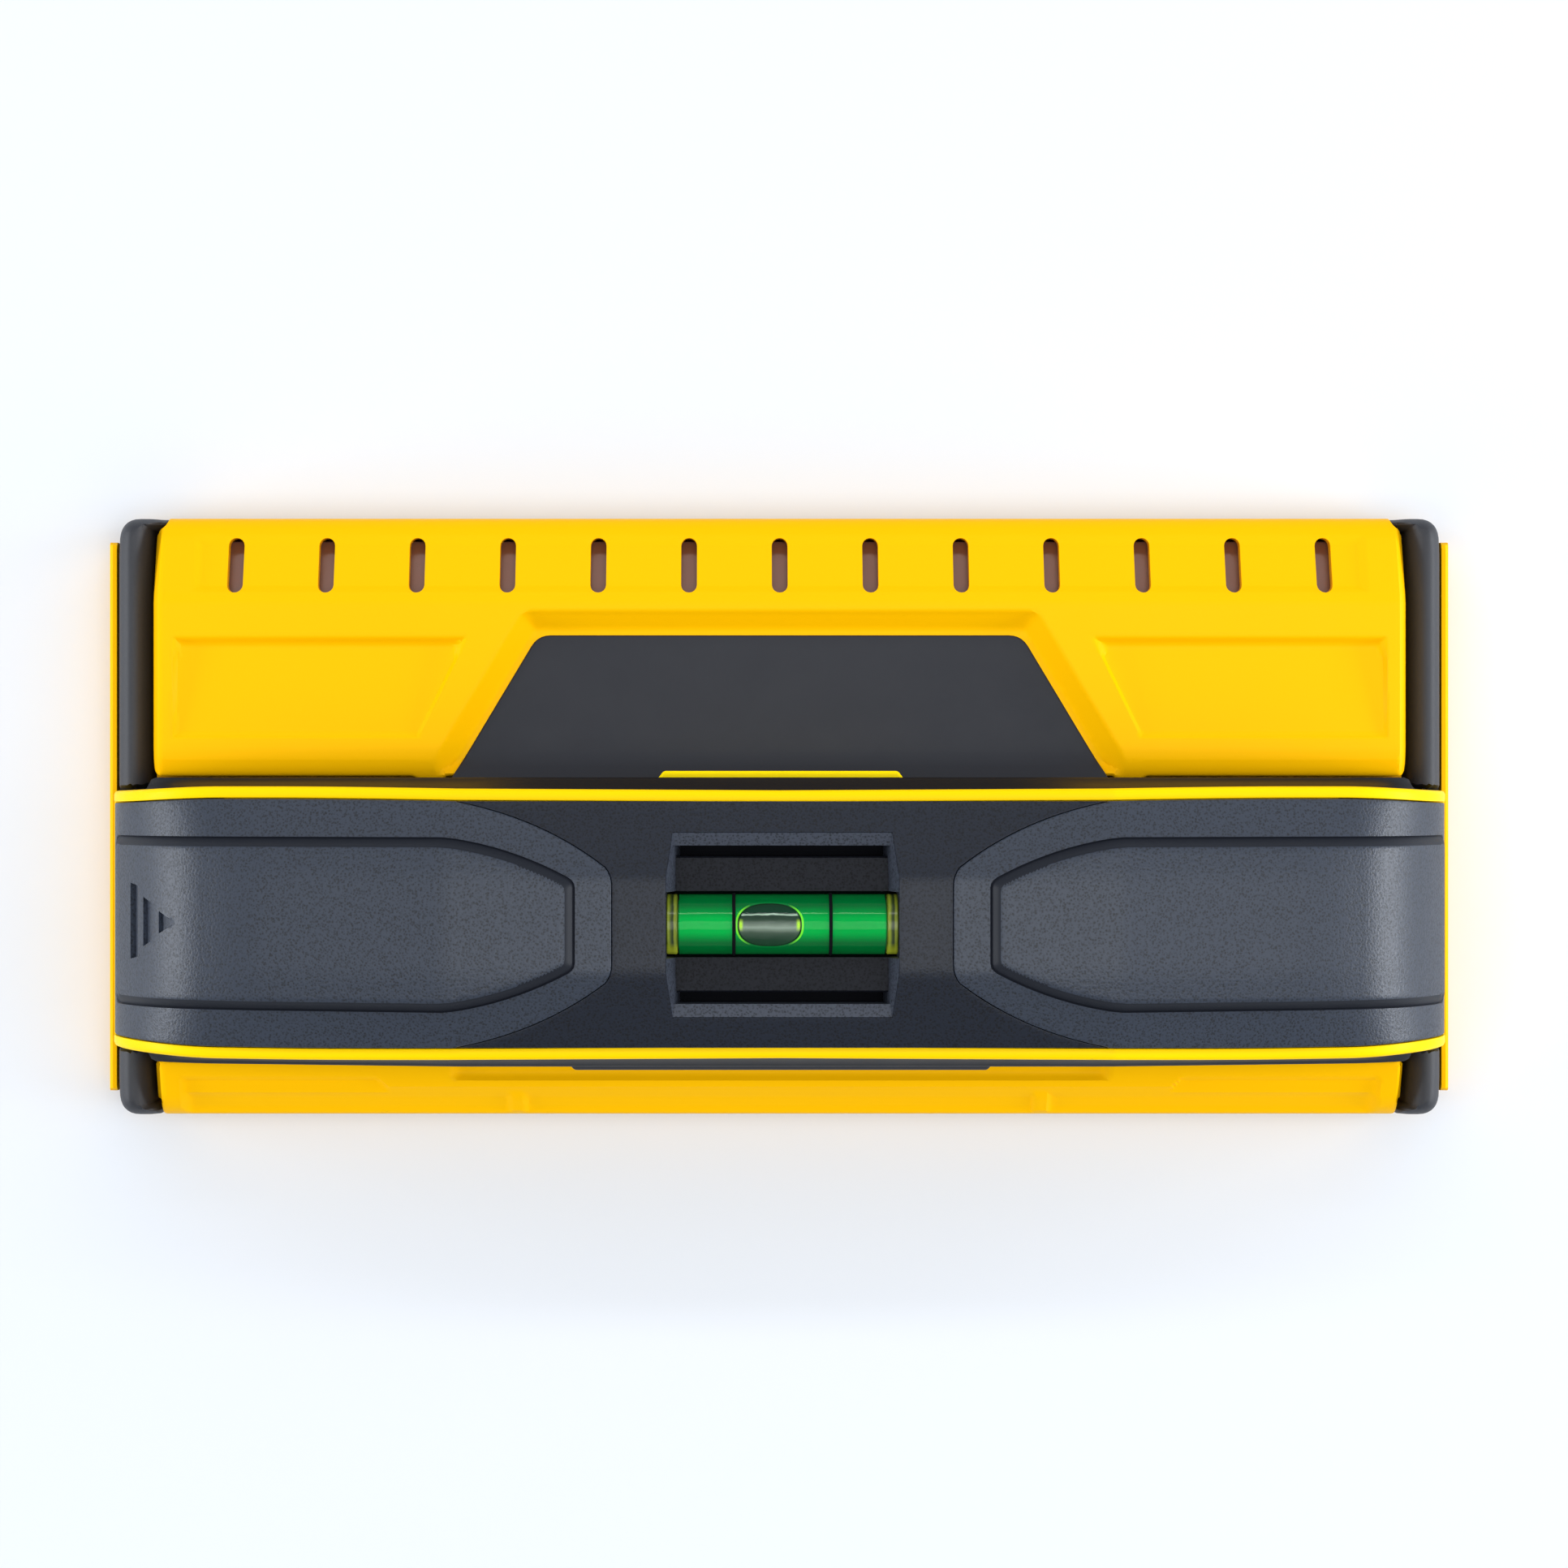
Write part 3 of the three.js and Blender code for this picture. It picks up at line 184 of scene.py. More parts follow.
def flip(points):
    """The outline reflected in the plane y = 0, kept turning the same way."""
    return [(x, -y) for x, y in reversed(points)]


def signed_distance(points, x, y):
    """Distance to a closed outline: positive inside, negative outside."""
    ring = np.array(points, float)
    after = np.roll(ring, -1, axis=0)
    x = np.asarray(x, float)
    y = np.asarray(y, float)
    best = np.full(x.shape, np.inf)
    inside = np.zeros(x.shape, bool)
    for (ax, ay), (bx, by) in zip(ring, after):
        dx, dy = bx - ax, by - ay
        length = dx * dx + dy * dy
        if length < 1e-12:
            continue
        t = np.clip(((x - ax) * dx + (y - ay) * dy) / length, 0, 1)
        best = np.minimum(best, np.hypot(x - ax - t * dx, y - ay - t * dy))
        crosses = (ay > y) != (by > y)
        side = np.where(crosses, (y - ay) * dx - (x - ax) * dy, 0)
        inside ^= crosses & ((side > 0) == (dy < 0))
    return np.where(inside, best, -best)


def offset(points, amount):
    """The closed outline moved inwards by an amount, corner by corner (outwards where it is negative)."""
    ring = np.array(points, float)
    keep = np.linalg.norm(ring - np.roll(ring, 1, axis=0), axis=1) > 1e-6
    ring = ring[keep]
    area = np.sum(ring[:, 0] * np.roll(ring[:, 1], -1) - np.roll(ring[:, 0], -1) * ring[:, 1])
    turn = 1 if area > 0 else -1
    before = ring - np.roll(ring, 1, axis=0)
    after = np.roll(ring, -1, axis=0) - ring
    before /= np.linalg.norm(before, axis=1)[:, None]
    after /= np.linalg.norm(after, axis=1)[:, None]
    normal_a = np.stack([-before[:, 1], before[:, 0]], 1) * turn
    normal_b = np.stack([-after[:, 1], after[:, 0]], 1) * turn
    middle = normal_a + normal_b
    middle /= np.linalg.norm(middle, axis=1)[:, None]
    sharpest = 0.35
    stretch = np.clip(np.sum(middle * normal_a, axis=1), sharpest, 1)
    return [tuple(p) for p in ring + middle * (amount / stretch)[:, None]]


def dense(points, step):
    """The same closed outline with no stretch longer than a step."""
    result = []
    for i, point in enumerate(points):
        a, b = np.array(point, float), np.array(points[(i + 1) % len(points)], float)
        pieces = max(int(math.ceil(np.linalg.norm(b - a) / step)), 1)
        result += [tuple(lerp(a, b, k / pieces)) for k in range(pieces)]
    return result


def edge_round(distance, radius):
    """How far a surface has dropped at a distance in from an edge of this radius."""
    d = np.clip(distance, 0, radius)
    return radius - np.sqrt(np.maximum(radius**2 - (radius - d) ** 2, 0))


def round_lines(outline, radius):
    """Lines just inside an outline that let its rounded edge show."""
    return [offset(outline, radius * step) for step in (0.06, 0.25, 0.55, 1.0)]


# ---------------------------------------------------------------- the arch of the handle


def arch_frame(run):
    """Place and tilt of the arch at a run from its middle."""
    r = np.abs(run)
    bend = np.clip((r - FLAT_RUN) / BEND_RADIUS, 0, ARCH_SLOPE)
    ramp = np.clip(r - FLAT_RUN - BEND_RUN, 0, RAMP_RUN)
    past_ramp = r - FLAT_RUN - BEND_RUN - RAMP_RUN
    turn = ARCH_SLOPE + np.maximum(past_ramp, 0) / SHOULDER_RADIUS
    in_shoulder = past_ramp > 0
    x = np.minimum(r, FLAT_RUN) + BEND_RADIUS * np.sin(bend) + ramp * math.cos(ARCH_SLOPE)
    z = ARCH_TOP - BEND_RADIUS * (1 - np.cos(bend)) - ramp * math.sin(ARCH_SLOPE)
    x = np.where(in_shoulder, SHOULDER_X + SHOULDER_RADIUS * np.sin(turn), x)
    z = np.where(in_shoulder, ARCH_LOW + SHOULDER_RADIUS * np.cos(turn), z)
    tilt = np.where(in_shoulder, turn, bend)
    return np.sign(run) * x, z, np.sign(run) * tilt


def arch_place(run, y, rise):
    """Points raised above the arch along its normal; y is measured from the handle's centre line."""
    x, z, tilt = arch_frame(np.asarray(run, float))
    return np.stack([x + rise * np.sin(tilt), y + HANDLE_Y + 0 * x, z + rise * np.cos(tilt)], -1)


def arch_ring(run, section):
    """A section of [y, rise] points, stood on the arch at a run."""
    return [tuple(arch_place(run, y, rise)) for y, rise in section]


def arch_height(x, rise):
    """Height at x of the curve that runs parallel to the arch."""
    side = np.abs(x)
    reach = SHOULDER_RADIUS + rise
    flat = ARCH_TOP + rise
    ramp = ARCH_TOP + rise / math.cos(ARCH_SLOPE) - (side - ARCH_BEND) * math.tan(ARCH_SLOPE)
    bend = 0.5 * (flat + ramp - np.sqrt((flat - ramp) ** 2 + BEND_BLEND))
    shoulder = ARCH_LOW + np.sqrt(np.maximum(reach**2 - (side - SHOULDER_X) ** 2, 0))
    return np.where(side > SHOULDER_X + reach * math.sin(ARCH_SLOPE), shoulder, bend)


def trim_half(x):
    """Half the width over the trim at x."""
    side = np.abs(x)
    swell = TRIM_SWELL * smooth(SWELL_START, SWELL_END, side)
    return TRIM_HALF + swell - TRIM_TAPER * smooth(TAPER_START, TAPER_END, side)


def crown_fade(run):
    """0 over the middle of the handle and 1 near its ends, where the crown has gone."""
    return smooth(ARCH_RUN - CROWN_FADE_START, ARCH_RUN - CROWN_FADE_END, np.abs(run))


def crown_rise(run, y):
    """Height of the faceted crown over the arch."""
    fade = crown_fade(run)
    over = np.abs(y) - FLAT_HALF
    facet = 0.5 * (over + np.sqrt(over**2 + FACET_BLEND))
    return lerp(CROWN_RISE, CROWN_END, fade) - facet * FACET_DROP * (1 - fade)


# ---------------------------------------------------------------- meshes


def mesh_object(name, solid):
    """A mesh object from (points in millimetres, faces), with its faces turned outwards."""
    verts, faces = solid
    mesh = bpy.data.meshes.new(name)
    mesh.from_pydata([tuple(float(c) * MM for c in v) for v in verts], [], [tuple(f) for f in faces])
    mesh.validate()
    work = bmesh.new()
    work.from_mesh(mesh)
    bmesh.ops.remove_doubles(work, verts=work.verts, dist=1e-7)
    bmesh.ops.recalc_face_normals(work, faces=work.faces)
    work.to_mesh(mesh)
    work.free()
    obj = bpy.data.objects.new(name, mesh)
    bpy.context.scene.collection.objects.link(obj)
    return obj


def shade(mesh, sharp):
    """Smooth shading, broken at edges sharper than an angle in degrees."""
    mesh.shade_smooth()
    mesh.set_sharp_from_angle(angle=math.radians(sharp))


def piece(name, solid, material, node, hides=True, sharp=SHARP_ANGLE):
    """A visible piece that rides on the CAD node's body and, if it hides it, replaces it."""
    obj = mesh_object(name, solid)
    shade(obj.data, sharp)
    obj.data.materials.append(material)
    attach(obj, BODY_OF[node])
    if hides:
        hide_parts(node)
    return obj


def bevel(obj, width, segments, angle=35):
    """Rounds the edges of a piece that are sharper than an angle in degrees."""
    modifier = obj.modifiers.new("Bevel", "BEVEL")
    modifier.width = width * MM
    modifier.segments = segments
    modifier.limit_method = "ANGLE"
    modifier.angle_limit = math.radians(angle)


def carve(obj, low, high):
    """Takes the box between two corners away from the object."""
    cutter = mesh_object("cutter", block(low, high))
    modifier = obj.modifiers.new("Carve", "BOOLEAN")
    modifier.operation = "DIFFERENCE"
    modifier.solver = "EXACT"
    modifier.object = cutter
    graph = bpy.context.evaluated_depsgraph_get()
    graph.update()
    mesh = bpy.data.meshes.new_from_object(obj.evaluated_get(graph))
    obj.modifiers.remove(modifier)
    old = obj.data
    obj.data = mesh
    bpy.data.meshes.remove(old)
    bpy.data.objects.remove(cutter)
    shade(mesh, SHARP_ANGLE)


def joined(parts):
    """Several (verts, faces) pairs as one."""
    verts, faces = [], []
    for part_verts, part_faces in parts:
        base = len(verts)
        verts += [tuple(v) for v in part_verts]
        faces += [tuple(i + base for i in face) for face in part_faces]
    return verts, faces


def sheet_grid(outline, holes, lines, spacing):
    """Triangles in the plane inside an outline, with edges along every line given."""
    loops = [dense(loop, spacing) for loop in [outline, *holes, *lines]]
    points = np.array([p for loop in loops for p in loop])
    edges = []
    base = 0
    for loop in loops:
        edges += [(base + i, base + (i + 1) % len(loop)) for i in range(len(loop))]
        base += len(loop)
    low, high = points.min(axis=0), points.max(axis=0)
    xs = np.arange(low[0] + spacing / 2, high[0], spacing)
    ys = np.arange(low[1] + spacing / 2, high[1], spacing)
    grid_x, grid_y = (g.ravel() for g in np.meshgrid(xs, ys))
    clear_of_lines = 0.45 * spacing
    keep = signed_distance(outline, grid_x, grid_y) > clear_of_lines
    for loop in [*holes, *lines]:
        keep &= np.abs(signed_distance(loop, grid_x, grid_y)) > clear_of_lines
    for hole in holes:
        keep &= signed_distance(hole, grid_x, grid_y) < 0
    every = np.concatenate([points, np.stack([grid_x[keep], grid_y[keep]], 1)])
    verts, _, faces, *_ = delaunay_2d_cdt([Vector(p) for p in every], edges, [], 0, 1e-5)
    flat = np.array([tuple(v) for v in verts])
    tris = np.array([tuple(f) for f in faces if len(f) == 3])
    middle = flat[tris].mean(axis=1)
    inside = signed_distance(outline, middle[:, 0], middle[:, 1]) > 0
    for hole in holes:
        inside &= signed_distance(hole, middle[:, 0], middle[:, 1]) < 0
    used, tris = np.unique(tris[inside], return_inverse=True)
    return flat[used], tris.reshape(-1, 3)


def slab(grid, top, bottom):
    """A closed solid between two surfaces over a sheet grid; both give a point for each (x, y)."""
    flat, tris = grid
    upper = top(flat[:, 0], flat[:, 1])
    lower = bottom(flat[:, 0], flat[:, 1])
    count = len(flat)
    a, b, c = flat[tris[:, 0]], flat[tris[:, 1]], flat[tris[:, 2]]
    turn = (b[:, 0] - a[:, 0]) * (c[:, 1] - a[:, 1]) - (b[:, 1] - a[:, 1]) * (c[:, 0] - a[:, 0])
    tris = np.where((turn < 0)[:, None], tris[:, ::-1], tris)
    edges = {(face[i], face[(i + 1) % 3]): None for face in tris for i in range(3)}
    rim = [(i, j) for i, j in edges if (j, i) not in edges]
    faces = [tuple(face) for face in tris]
    faces += [tuple(int(i) + count for i in face[::-1]) for face in tris]
    faces += [(i, i + count, j + count, j) for i, j in rim]
    return np.concatenate([upper, lower]), faces


def level(height):
    """A surface for a slab from a height over the plan, or from one height all over."""
    if callable(height):
        return lambda x, y: np.stack([x, y, height(x, y) + 0 * x], -1)
    return lambda x, y: np.stack([x, y, height + 0 * x], -1)


def loft(rings, hollow=False):
    """A skin through rings of equal count: capped at both ends, or closed on itself if hollow."""
    count = len(rings[0])
    last = len(rings) - 1
    verts = [tuple(p) for ring in rings for p in ring]
    steps = [(r, r + 1) for r in range(last)] + ([(last, 0)] if hollow else [])
    faces = []
    for a, b in steps:
        for i in range(count):
            j = (i + 1) % count
            faces.append((a * count + i, a * count + j, b * count + j, b * count + i))
    if not hollow:
        faces += [tuple(r * count + i for i in range(count)) for r in (0, last)]
    return verts, faces


def lathe_x(profile, centre, segments, hollow=False):
    """A turned solid round an axis along X: the profile has [x, radius] points."""
    cx, cy, cz = centre
    turns = [2 * math.pi * k / segments for k in range(segments)]
    circle = [(math.cos(a), math.sin(a)) for a in turns]
    rings = [[(cx + x, cy + radius * c, cz + radius * s) for c, s in circle] for x, radius in profile]
    return loft(rings, hollow)


def block(low, high):
    """A plain box, for cutters, hidden backing and as a base for bevels."""
    (x0, y0, z0), (x1, y1, z1) = low, high
    verts = [(x, y, z) for z in (z0, z1) for y in (y0, y1) for x in (x0, x1)]
    faces = [(0, 2, 3, 1), (4, 5, 7, 6), (0, 1, 5, 4), (2, 6, 7, 3), (0, 4, 6, 2), (1, 3, 7, 5)]
    return verts, faces


# ---------------------------------------------------------------- materials


class Nodes:
    """A short way to write a material's node tree."""

    def __init__(self, name):
        self.material = bpy.data.materials.new(name)
        self.material.use_nodes = True
        self.tree = self.material.node_tree
        self.shader = self.tree.nodes["Principled BSDF"]
        self.place = self.tree.nodes.new("ShaderNodeTexCoord").outputs["Object"]

    def add(self, kind, inputs=None, **settings):
        node = self.tree.nodes.new(kind)
        for key, value in settings.items():
            setattr(node, key, value)
        for key, value in (inputs or {}).items():
            self.put(node.inputs[key], value)
        return node

    def put(self, socket, value):
        if isinstance(value, bpy.types.NodeSocket):
            self.tree.links.new(value, socket)
        else:
            socket.default_value = value

    def own_box(self):
        """Place within the piece's own box, 0 to 1 along each axis."""
        inside = self.add("ShaderNodeTexCoord").outputs["Generated"]
        return self.add("ShaderNodeSeparateXYZ", {"Vector": inside}).outputs

    def noise(self, scale, detail=3, rough=0.6, stretch=None):
        place = self.place
        if stretch:
            place = self.add("ShaderNodeMapping", {"Vector": place, "Scale": stretch}).outputs[0]
        inputs = {"Vector": place, "Scale": scale, "Detail": detail, "Roughness": rough}
        return self.add("ShaderNodeTexNoise", inputs).outputs["Fac"]

    def cells(self, scale):
        return self.add("ShaderNodeTexVoronoi", {"Vector": self.place, "Scale": scale}).outputs["Distance"]

    def ramp(self, value, stops):
        node = self.add("ShaderNodeValToRGB", {"Fac": value})
        elements = node.color_ramp.elements
        while len(elements) < len(stops):
            elements.new(0.5)
        for element, (position, colour) in zip(elements, stops):
            element.position = position
            element.color = colour
        return node.outputs["Color"]

    def shades(self, value, stops):
        """A ramp through display colours."""
        return self.ramp(value, [(position, rgba(colour)) for position, colour in stops])

    def mask(self, value, stops):
        """A ramp between black and white from [position, grey] stops."""
        return self.ramp(value, [(position, (grey, grey, grey, 1)) for position, grey in stops])

    def span(self, value, low, high):
        """A value from 0 to 1 stretched to another range."""
        return self.add("ShaderNodeMapRange", {"Value": value, "To Min": low, "To Max": high}).outputs[0]

    def mix(self, factor, a, b, blend="MIX"):
        node = self.add("ShaderNodeMix", data_type="RGBA", blend_type=blend)
        for key, value in (("Factor", factor), ("A", a), ("B", b)):
            self.put(node.inputs[key], value)
        return node.outputs["Result"]

    def maths(self, operation, a, b=0.0):
        node = self.add("ShaderNodeMath", operation=operation)
        self.put(node.inputs[0], a)
        self.put(node.inputs[1], b)
        return node.outputs[0]

    def bump(self, height, strength, distance, normal=None):
        node = self.add("ShaderNodeBump", {"Height": height, "Strength": strength, "Distance": distance})
        if normal is not None:
            self.put(node.inputs["Normal"], normal)
        return node.outputs["Normal"]

    def finish(self, **sockets):
        for key, value in sockets.items():
            self.put(self.shader.inputs[key.replace("_", " ")], value)
        return self.material


def rgba(hex_colour):
    """A display colour as linear light."""
    values = [int(hex_colour[i : i + 2], 16) / 255 for i in (1, 3, 5)]
    return (*(v / 12.92 if v <= 0.04045 else ((v + 0.055) / 1.055) ** 2.4 for v in values), 1)


def moulded(name, colour, darker, rough, grain=0.02, specular=0.5, coat=0.0):
    """Moulded plastic: slight flow tone, a fine grain and a little wear."""
    n = Nodes(name)
    flow = n.noise(28, 2, 0.5)
    tone = n.mix(n.span(flow, 0.0, 0.35), rgba(colour), rgba(darker))
    fine = n.noise(9000, 2, 0.7)
    handled = n.noise(160, 4, 0.65)
    roughness = n.maths("ADD", n.span(handled, rough - 0.05, rough + 0.05), n.span(fine, -0.03, 0.03))
    normal = n.bump(n.noise(900), 0.06, 0.0002)
    normal = n.bump(fine, grain, 0.0001, normal)
    return n.finish(
        Base_Color=tone, Roughness=roughness, Normal=normal, Specular_IOR_Level=specular,
        Coat_Weight=coat, Coat_Roughness=0.25,
    )


def sparked(name, colour, lighter, rough, grain, specular):
    """Plastic from a spark-eroded mould: a dense speckle in height, gloss and tone."""
    n = Nodes(name)
    speck = n.noise(2400, 3, 0.75)
    pits = n.cells(3000)
    mixed = n.maths("ADD", n.maths("MULTIPLY", speck, 0.7), n.maths("MULTIPLY", pits, 0.5))
    tone = n.shades(mixed, [(0.38, colour), (0.64, lighter)])
    handled = n.noise(70)
    roughness = n.maths("ADD", n.span(mixed, rough + 0.1, rough - 0.1), n.span(handled, -0.04, 0.04))
    normal = n.bump(mixed, grain, 0.00012)
    return n.finish(Base_Color=tone, Roughness=roughness, Normal=normal, Specular_IOR_Level=specular)


def rubber(name, colour, lighter, rough):
    """Soft black rubber: a dusty tone and a dull fine grain."""
    n = Nodes(name)
    dust = n.noise(240, 5, 0.7)
    fine = n.noise(3800, 3, 0.7)
    tone = n.mix(n.span(dust, 0.0, 0.6), rgba(colour), rgba(lighter))
    roughness = n.span(fine, rough - 0.08, rough + 0.08)
    return n.finish(Base_Color=tone, Roughness=roughness, Normal=n.bump(fine, 0.14, 0.0001))


def metal(name, colour, rough):
    """Plated metal with fine marks from handling."""
    n = Nodes(name)
    marks = n.noise(2600)
    tone = n.mix(n.span(marks, 0.0, 0.5), rgba(colour), (0.28, 0.28, 0.29, 1))
    return n.finish(
        Base_Color=tone, Metallic=1.0, Roughness=n.span(marks, rough - 0.08, rough + 0.12),
        Normal=n.bump(marks, 0.06, 0.00005),
    )


def circuit(name):
    """Solder mask over copper tracks."""
    n = Nodes(name)
    bricks = n.add("ShaderNodeTexBrick", {"Vector": n.place, "Scale": 260.0, "Mortar Size": 0.035})
    tracks = bricks.outputs["Fac"]
    speck = n.noise(1800, 2, 0.5)
    tone = n.mix(tracks, rgba("#12502b"), rgba("#2c7a46"))
    tone = n.mix(n.span(speck, 0, 0.25), tone, (0.008, 0.05, 0.02, 1))
    normal = n.bump(tracks, 0.2, 0.00005)
    return n.finish(Base_Color=tone, Roughness=n.span(speck, 0.25, 0.45), Normal=normal)


def clear(name, colour, ior):
    """Polished clear plastic with a trace of haze."""
    n = Nodes(name)
    haze = n.mix(n.span(n.noise(300), 0.0, 0.4), rgba(colour), (0.86, 0.98, 0.88, 1))
    return n.finish(Base_Color=haze, Roughness=0.0, IOR=ior, Transmission_Weight=1.0)


def dyed(name, colour, deeper, shadow, glow):
    """Fluorescent green liquid: a painted glow in its own colour, and painted shade darkening it towards its
    long edges.
    """
    n = Nodes(name)
    cloud = n.noise(120)
    tone = n.mix(n.span(cloud, 0.0, 1.0), rgba(colour), rgba(deeper))
    # painted shade: darker towards the long edges, as a round body is shaded
    edge = n.mask(n.own_box()["Y"], [(0.16, 1), (0.36, 0), (0.62, 0), (0.86, 1)])
    tone = n.mix(edge, tone, rgba(shadow))
    # painted glow: the emission stands in for light reaching the liquid
    return n.finish(
        Base_Color=tone, Roughness=n.span(cloud, 0.3, 0.4), Emission_Color=tone, Emission_Strength=glow,
        Specular_IOR_Level=0.0,
    )


def air(name):
    """The bubble, all painted light and shade: grey painted reflections inside with a pale painted highlight
    band along it, painted lime glints at its ends, a painted dark green shade ring, and a rim of painted
    light and shade, lime at its ends and dark green along its sides, with a painted glow.
    """
    n = Nodes(name)
    place = n.own_box()
    along, across = (
        n.maths("ABSOLUTE", n.maths("MULTIPLY", n.maths("SUBTRACT", place[axis], 0.5), 2.0)) for axis in "XY"
    )
    far = n.maths("ADD", n.maths("POWER", along, 2.5), n.maths("POWER", across, 2.5))
    # painted reflection and painted highlight bands across the bubble, with a pale painted highlight line at
    # 0.735
    painted_reflection_place = n.maths("ADD", place["Y"], n.span(n.noise(900, stretch=(0.4, 1, 1)), -0.05, 0.05))
    tone = n.shades(painted_reflection_place, [
        (0.0, "#083a20"), (0.16, "#1f3c2c"), (0.32, "#46544a"), (0.45, "#8a948b"), (0.54, "#5f6a61"),
        (0.62, "#35443a"), (0.71, "#26382e"), (0.735, "#c4d6c8"), (0.76, "#17382a"), (1.0, "#08331f"),
    ])
    # painted lime glints at the ends, near the middle across
    ends = n.mask(along, [(0.76, 0), (0.83, 1)])
    painted_glint_spot = n.mask(across, [(0.08, 1), (0.3, 0)])
    tone = n.mix(n.mix(1.0, ends, painted_glint_spot, "MULTIPLY"), tone, rgba("#b9e636"))
    # painted dark green shade ring inside the rim
    tone = n.mix(n.mask(far, [(0.72, 0), (0.78, 1)]), tone, rgba("#052b16"))
    # the rim: painted lime light at the ends, painted dark green shade along the sides
    side = n.mask(along, [(0.55, 0), (0.85, 1)])
    rim = n.mix(side, rgba("#067a38"), rgba("#7dea3c"))
    tone = n.mix(n.mask(far, [(0.84, 0), (0.88, 1)]), tone, rim)
    # a painted glow
    return n.finish(
        Base_Color=tone, Roughness=0.3, Emission_Color=tone, Emission_Strength=0.3, Specular_IOR_Level=0.0,
    )


def plug(name):
    """The dyed end plug of the vial: olive, with a dark joint line inside it, a painted highlight along its
    low-Y side and a painted glow.
    """
    n = Nodes(name)
    place = n.own_box()
    cloud = n.noise(260, 4, 0.7)
    across = n.maths("ADD", place["X"], n.span(cloud, -0.12, 0.12))
    tone = n.shades(across, [
        (0.0, "#4d5a16"), (0.2, "#7c8826"), (0.42, "#39461a"),
        (0.58, "#1a2814"), (0.75, "#747f26"), (1.0, "#4d5a16"),
    ])
    # painted highlight: lighter lime along the low-Y side
    edge = n.mask(place["Y"], [(0.06, 1), (0.2, 0)])
    tone = n.mix(n.mix(1.0, edge, (0.7, 0.7, 0.7, 1), "MULTIPLY"), tone, rgba("#aab42e"))
    # a painted glow
    return n.finish(
        Base_Color=tone, Roughness=n.span(cloud, 0.12, 0.25), Emission_Color=tone, Emission_Strength=0.15,
        Specular_IOR_Level=0.35,
    )


def sleeve(name):
    """A blank battery sleeve, dark and slightly metallic."""
    n = Nodes(name)
    fine = n.noise(1400)
    return n.finish(
        Base_Color=n.mix(n.span(fine, 0, 0.4), rgba("#2f343d"), rgba("#474d58")), Metallic=0.35,
        Roughness=n.span(fine, 0.22, 0.36), Normal=n.bump(fine, 0.03, 0.00005),
        Coat_Weight=0.3, Coat_Roughness=0.1,
    )


YELLOW = moulded("yellow_plastic", "#fcbd00", "#fab600", 0.42, specular=0.04)
TRIM_YELLOW = moulded("trim_plastic", "#fcd000", "#fbcb00", 0.38, specular=0.05)
# the key's yellow is painted brighter than the trim to make up for the shade under the handle: painted light
KEY_YELLOW_PAINTED_BRIGHT = moulded("key_plastic_painted_bright", "#ffe200", "#ffdc00", 0.38, specular=0.05)
BLACK = moulded("black_plastic", "#141519", "#101115", 0.46, grain=0.05, specular=0.12)
PANEL = moulded("panel_black", "#20222a", "#1d1f26", 0.55, grain=0.05, specular=0.3)
BED = sparked("bed_black", "#090a0e", "#15171e", 0.46, 0.3, 0.1)
DEEP = moulded("deep_black", "#121317", "#0e0f12", 0.85, grain=0.01, specular=0.03)
RUBBER = rubber("black_rubber", "#24252b", "#2c2e34", 0.6)
GRIP = sparked("grey_grip", "#14181f", "#2c3340", 0.43, 0.4, 0.36)
COVER = sparked("cover_black", "#0c0d12", "#191e29", 0.4, 0.32, 0.23)
# a darker copy of the grip plastic for the pad's sloping band: painted shade
GRIP_BAND_PAINTED_SHADE = moulded("grip_band_painted_shade", "#1c1f27", "#171a21", 0.5, grain=0.06, specular=0.18)
# the window bevel is painted lighter than the cover to make up for the light its slope misses: painted light
BEVEL_GREY_PAINTED_LIGHT = sparked("window_grey_painted_light", "#1c1f26", "#3a3f4b", 0.46, 0.32, 0.34)
LENS = moulded("smoked_lens", "#7a4f3a", "#694331", 0.3, grain=0.004)
LED = moulded("red_led", "#8c1a10", "#6a120c", 0.2, grain=0.004, coat=0.4)
BOARD = circuit("circuit_board")
CHIP = moulded("chip_black", "#17181a", "#101113", 0.5, grain=0.08)
STEEL = metal("plated_steel", "#c9ccd1", 0.28)
WHITE = moulded("white_plastic", "#e4e2d8", "#d6d4ca", 0.45)
RED_WIRE = moulded("red_wire", "#b3221a", "#981a14", 0.4, grain=0.01)
SLEEVE = sleeve("cell_sleeve")
COPPER = metal("copper_band", "#c07a43", 0.25)
ACRYLIC = clear("clear_acrylic", "#f4fff4", 1.26)
# the liquid carries a painted glow and painted shade along its edges
LIQUID = dyed("green_liquid", "#00b04a", "#009640", "#00662e", 0.35)
# the plugs carry a painted highlight and a painted glow
CAP = plug("vial_cap")
# the bubble is painted light and shade all over
AIR = air("bubble_air")


# ---------------------------------------------------------------- camera, light and floor

VIEW_DISTANCE = 500.0
VIEW_WIDTH = 214.47
VIEW_CENTRE = (-6.8, 4.35)
VIEW_SHIFT = 0.0355
FLOOR_REACH = 3.0
FLOOR_DROP = 0.4
LAMPS = [
    # name, place, size, power, colour, whether it is turned to face the object
    ("overhead", (220, -50, 850), (1700, 450), 4.95, (0.975, 0.99, 1.0), False),
    ("right_soft", (150, -45, 850), (140, 220), 0.7, (0.96, 0.98, 1.0), False),
    ("rear_tube", (0, 560, 620), (1400, 60), 1.7, (1.0, 1.0, 1.0), True),
    ("left_strip", (-700, 0, 120), (460, 120), 2.8, (0.93, 0.96, 1.0), True),
    ("right_strip", (700, 0, 120), (460, 120), 3.6, (0.93, 0.96, 1.0), True),
]


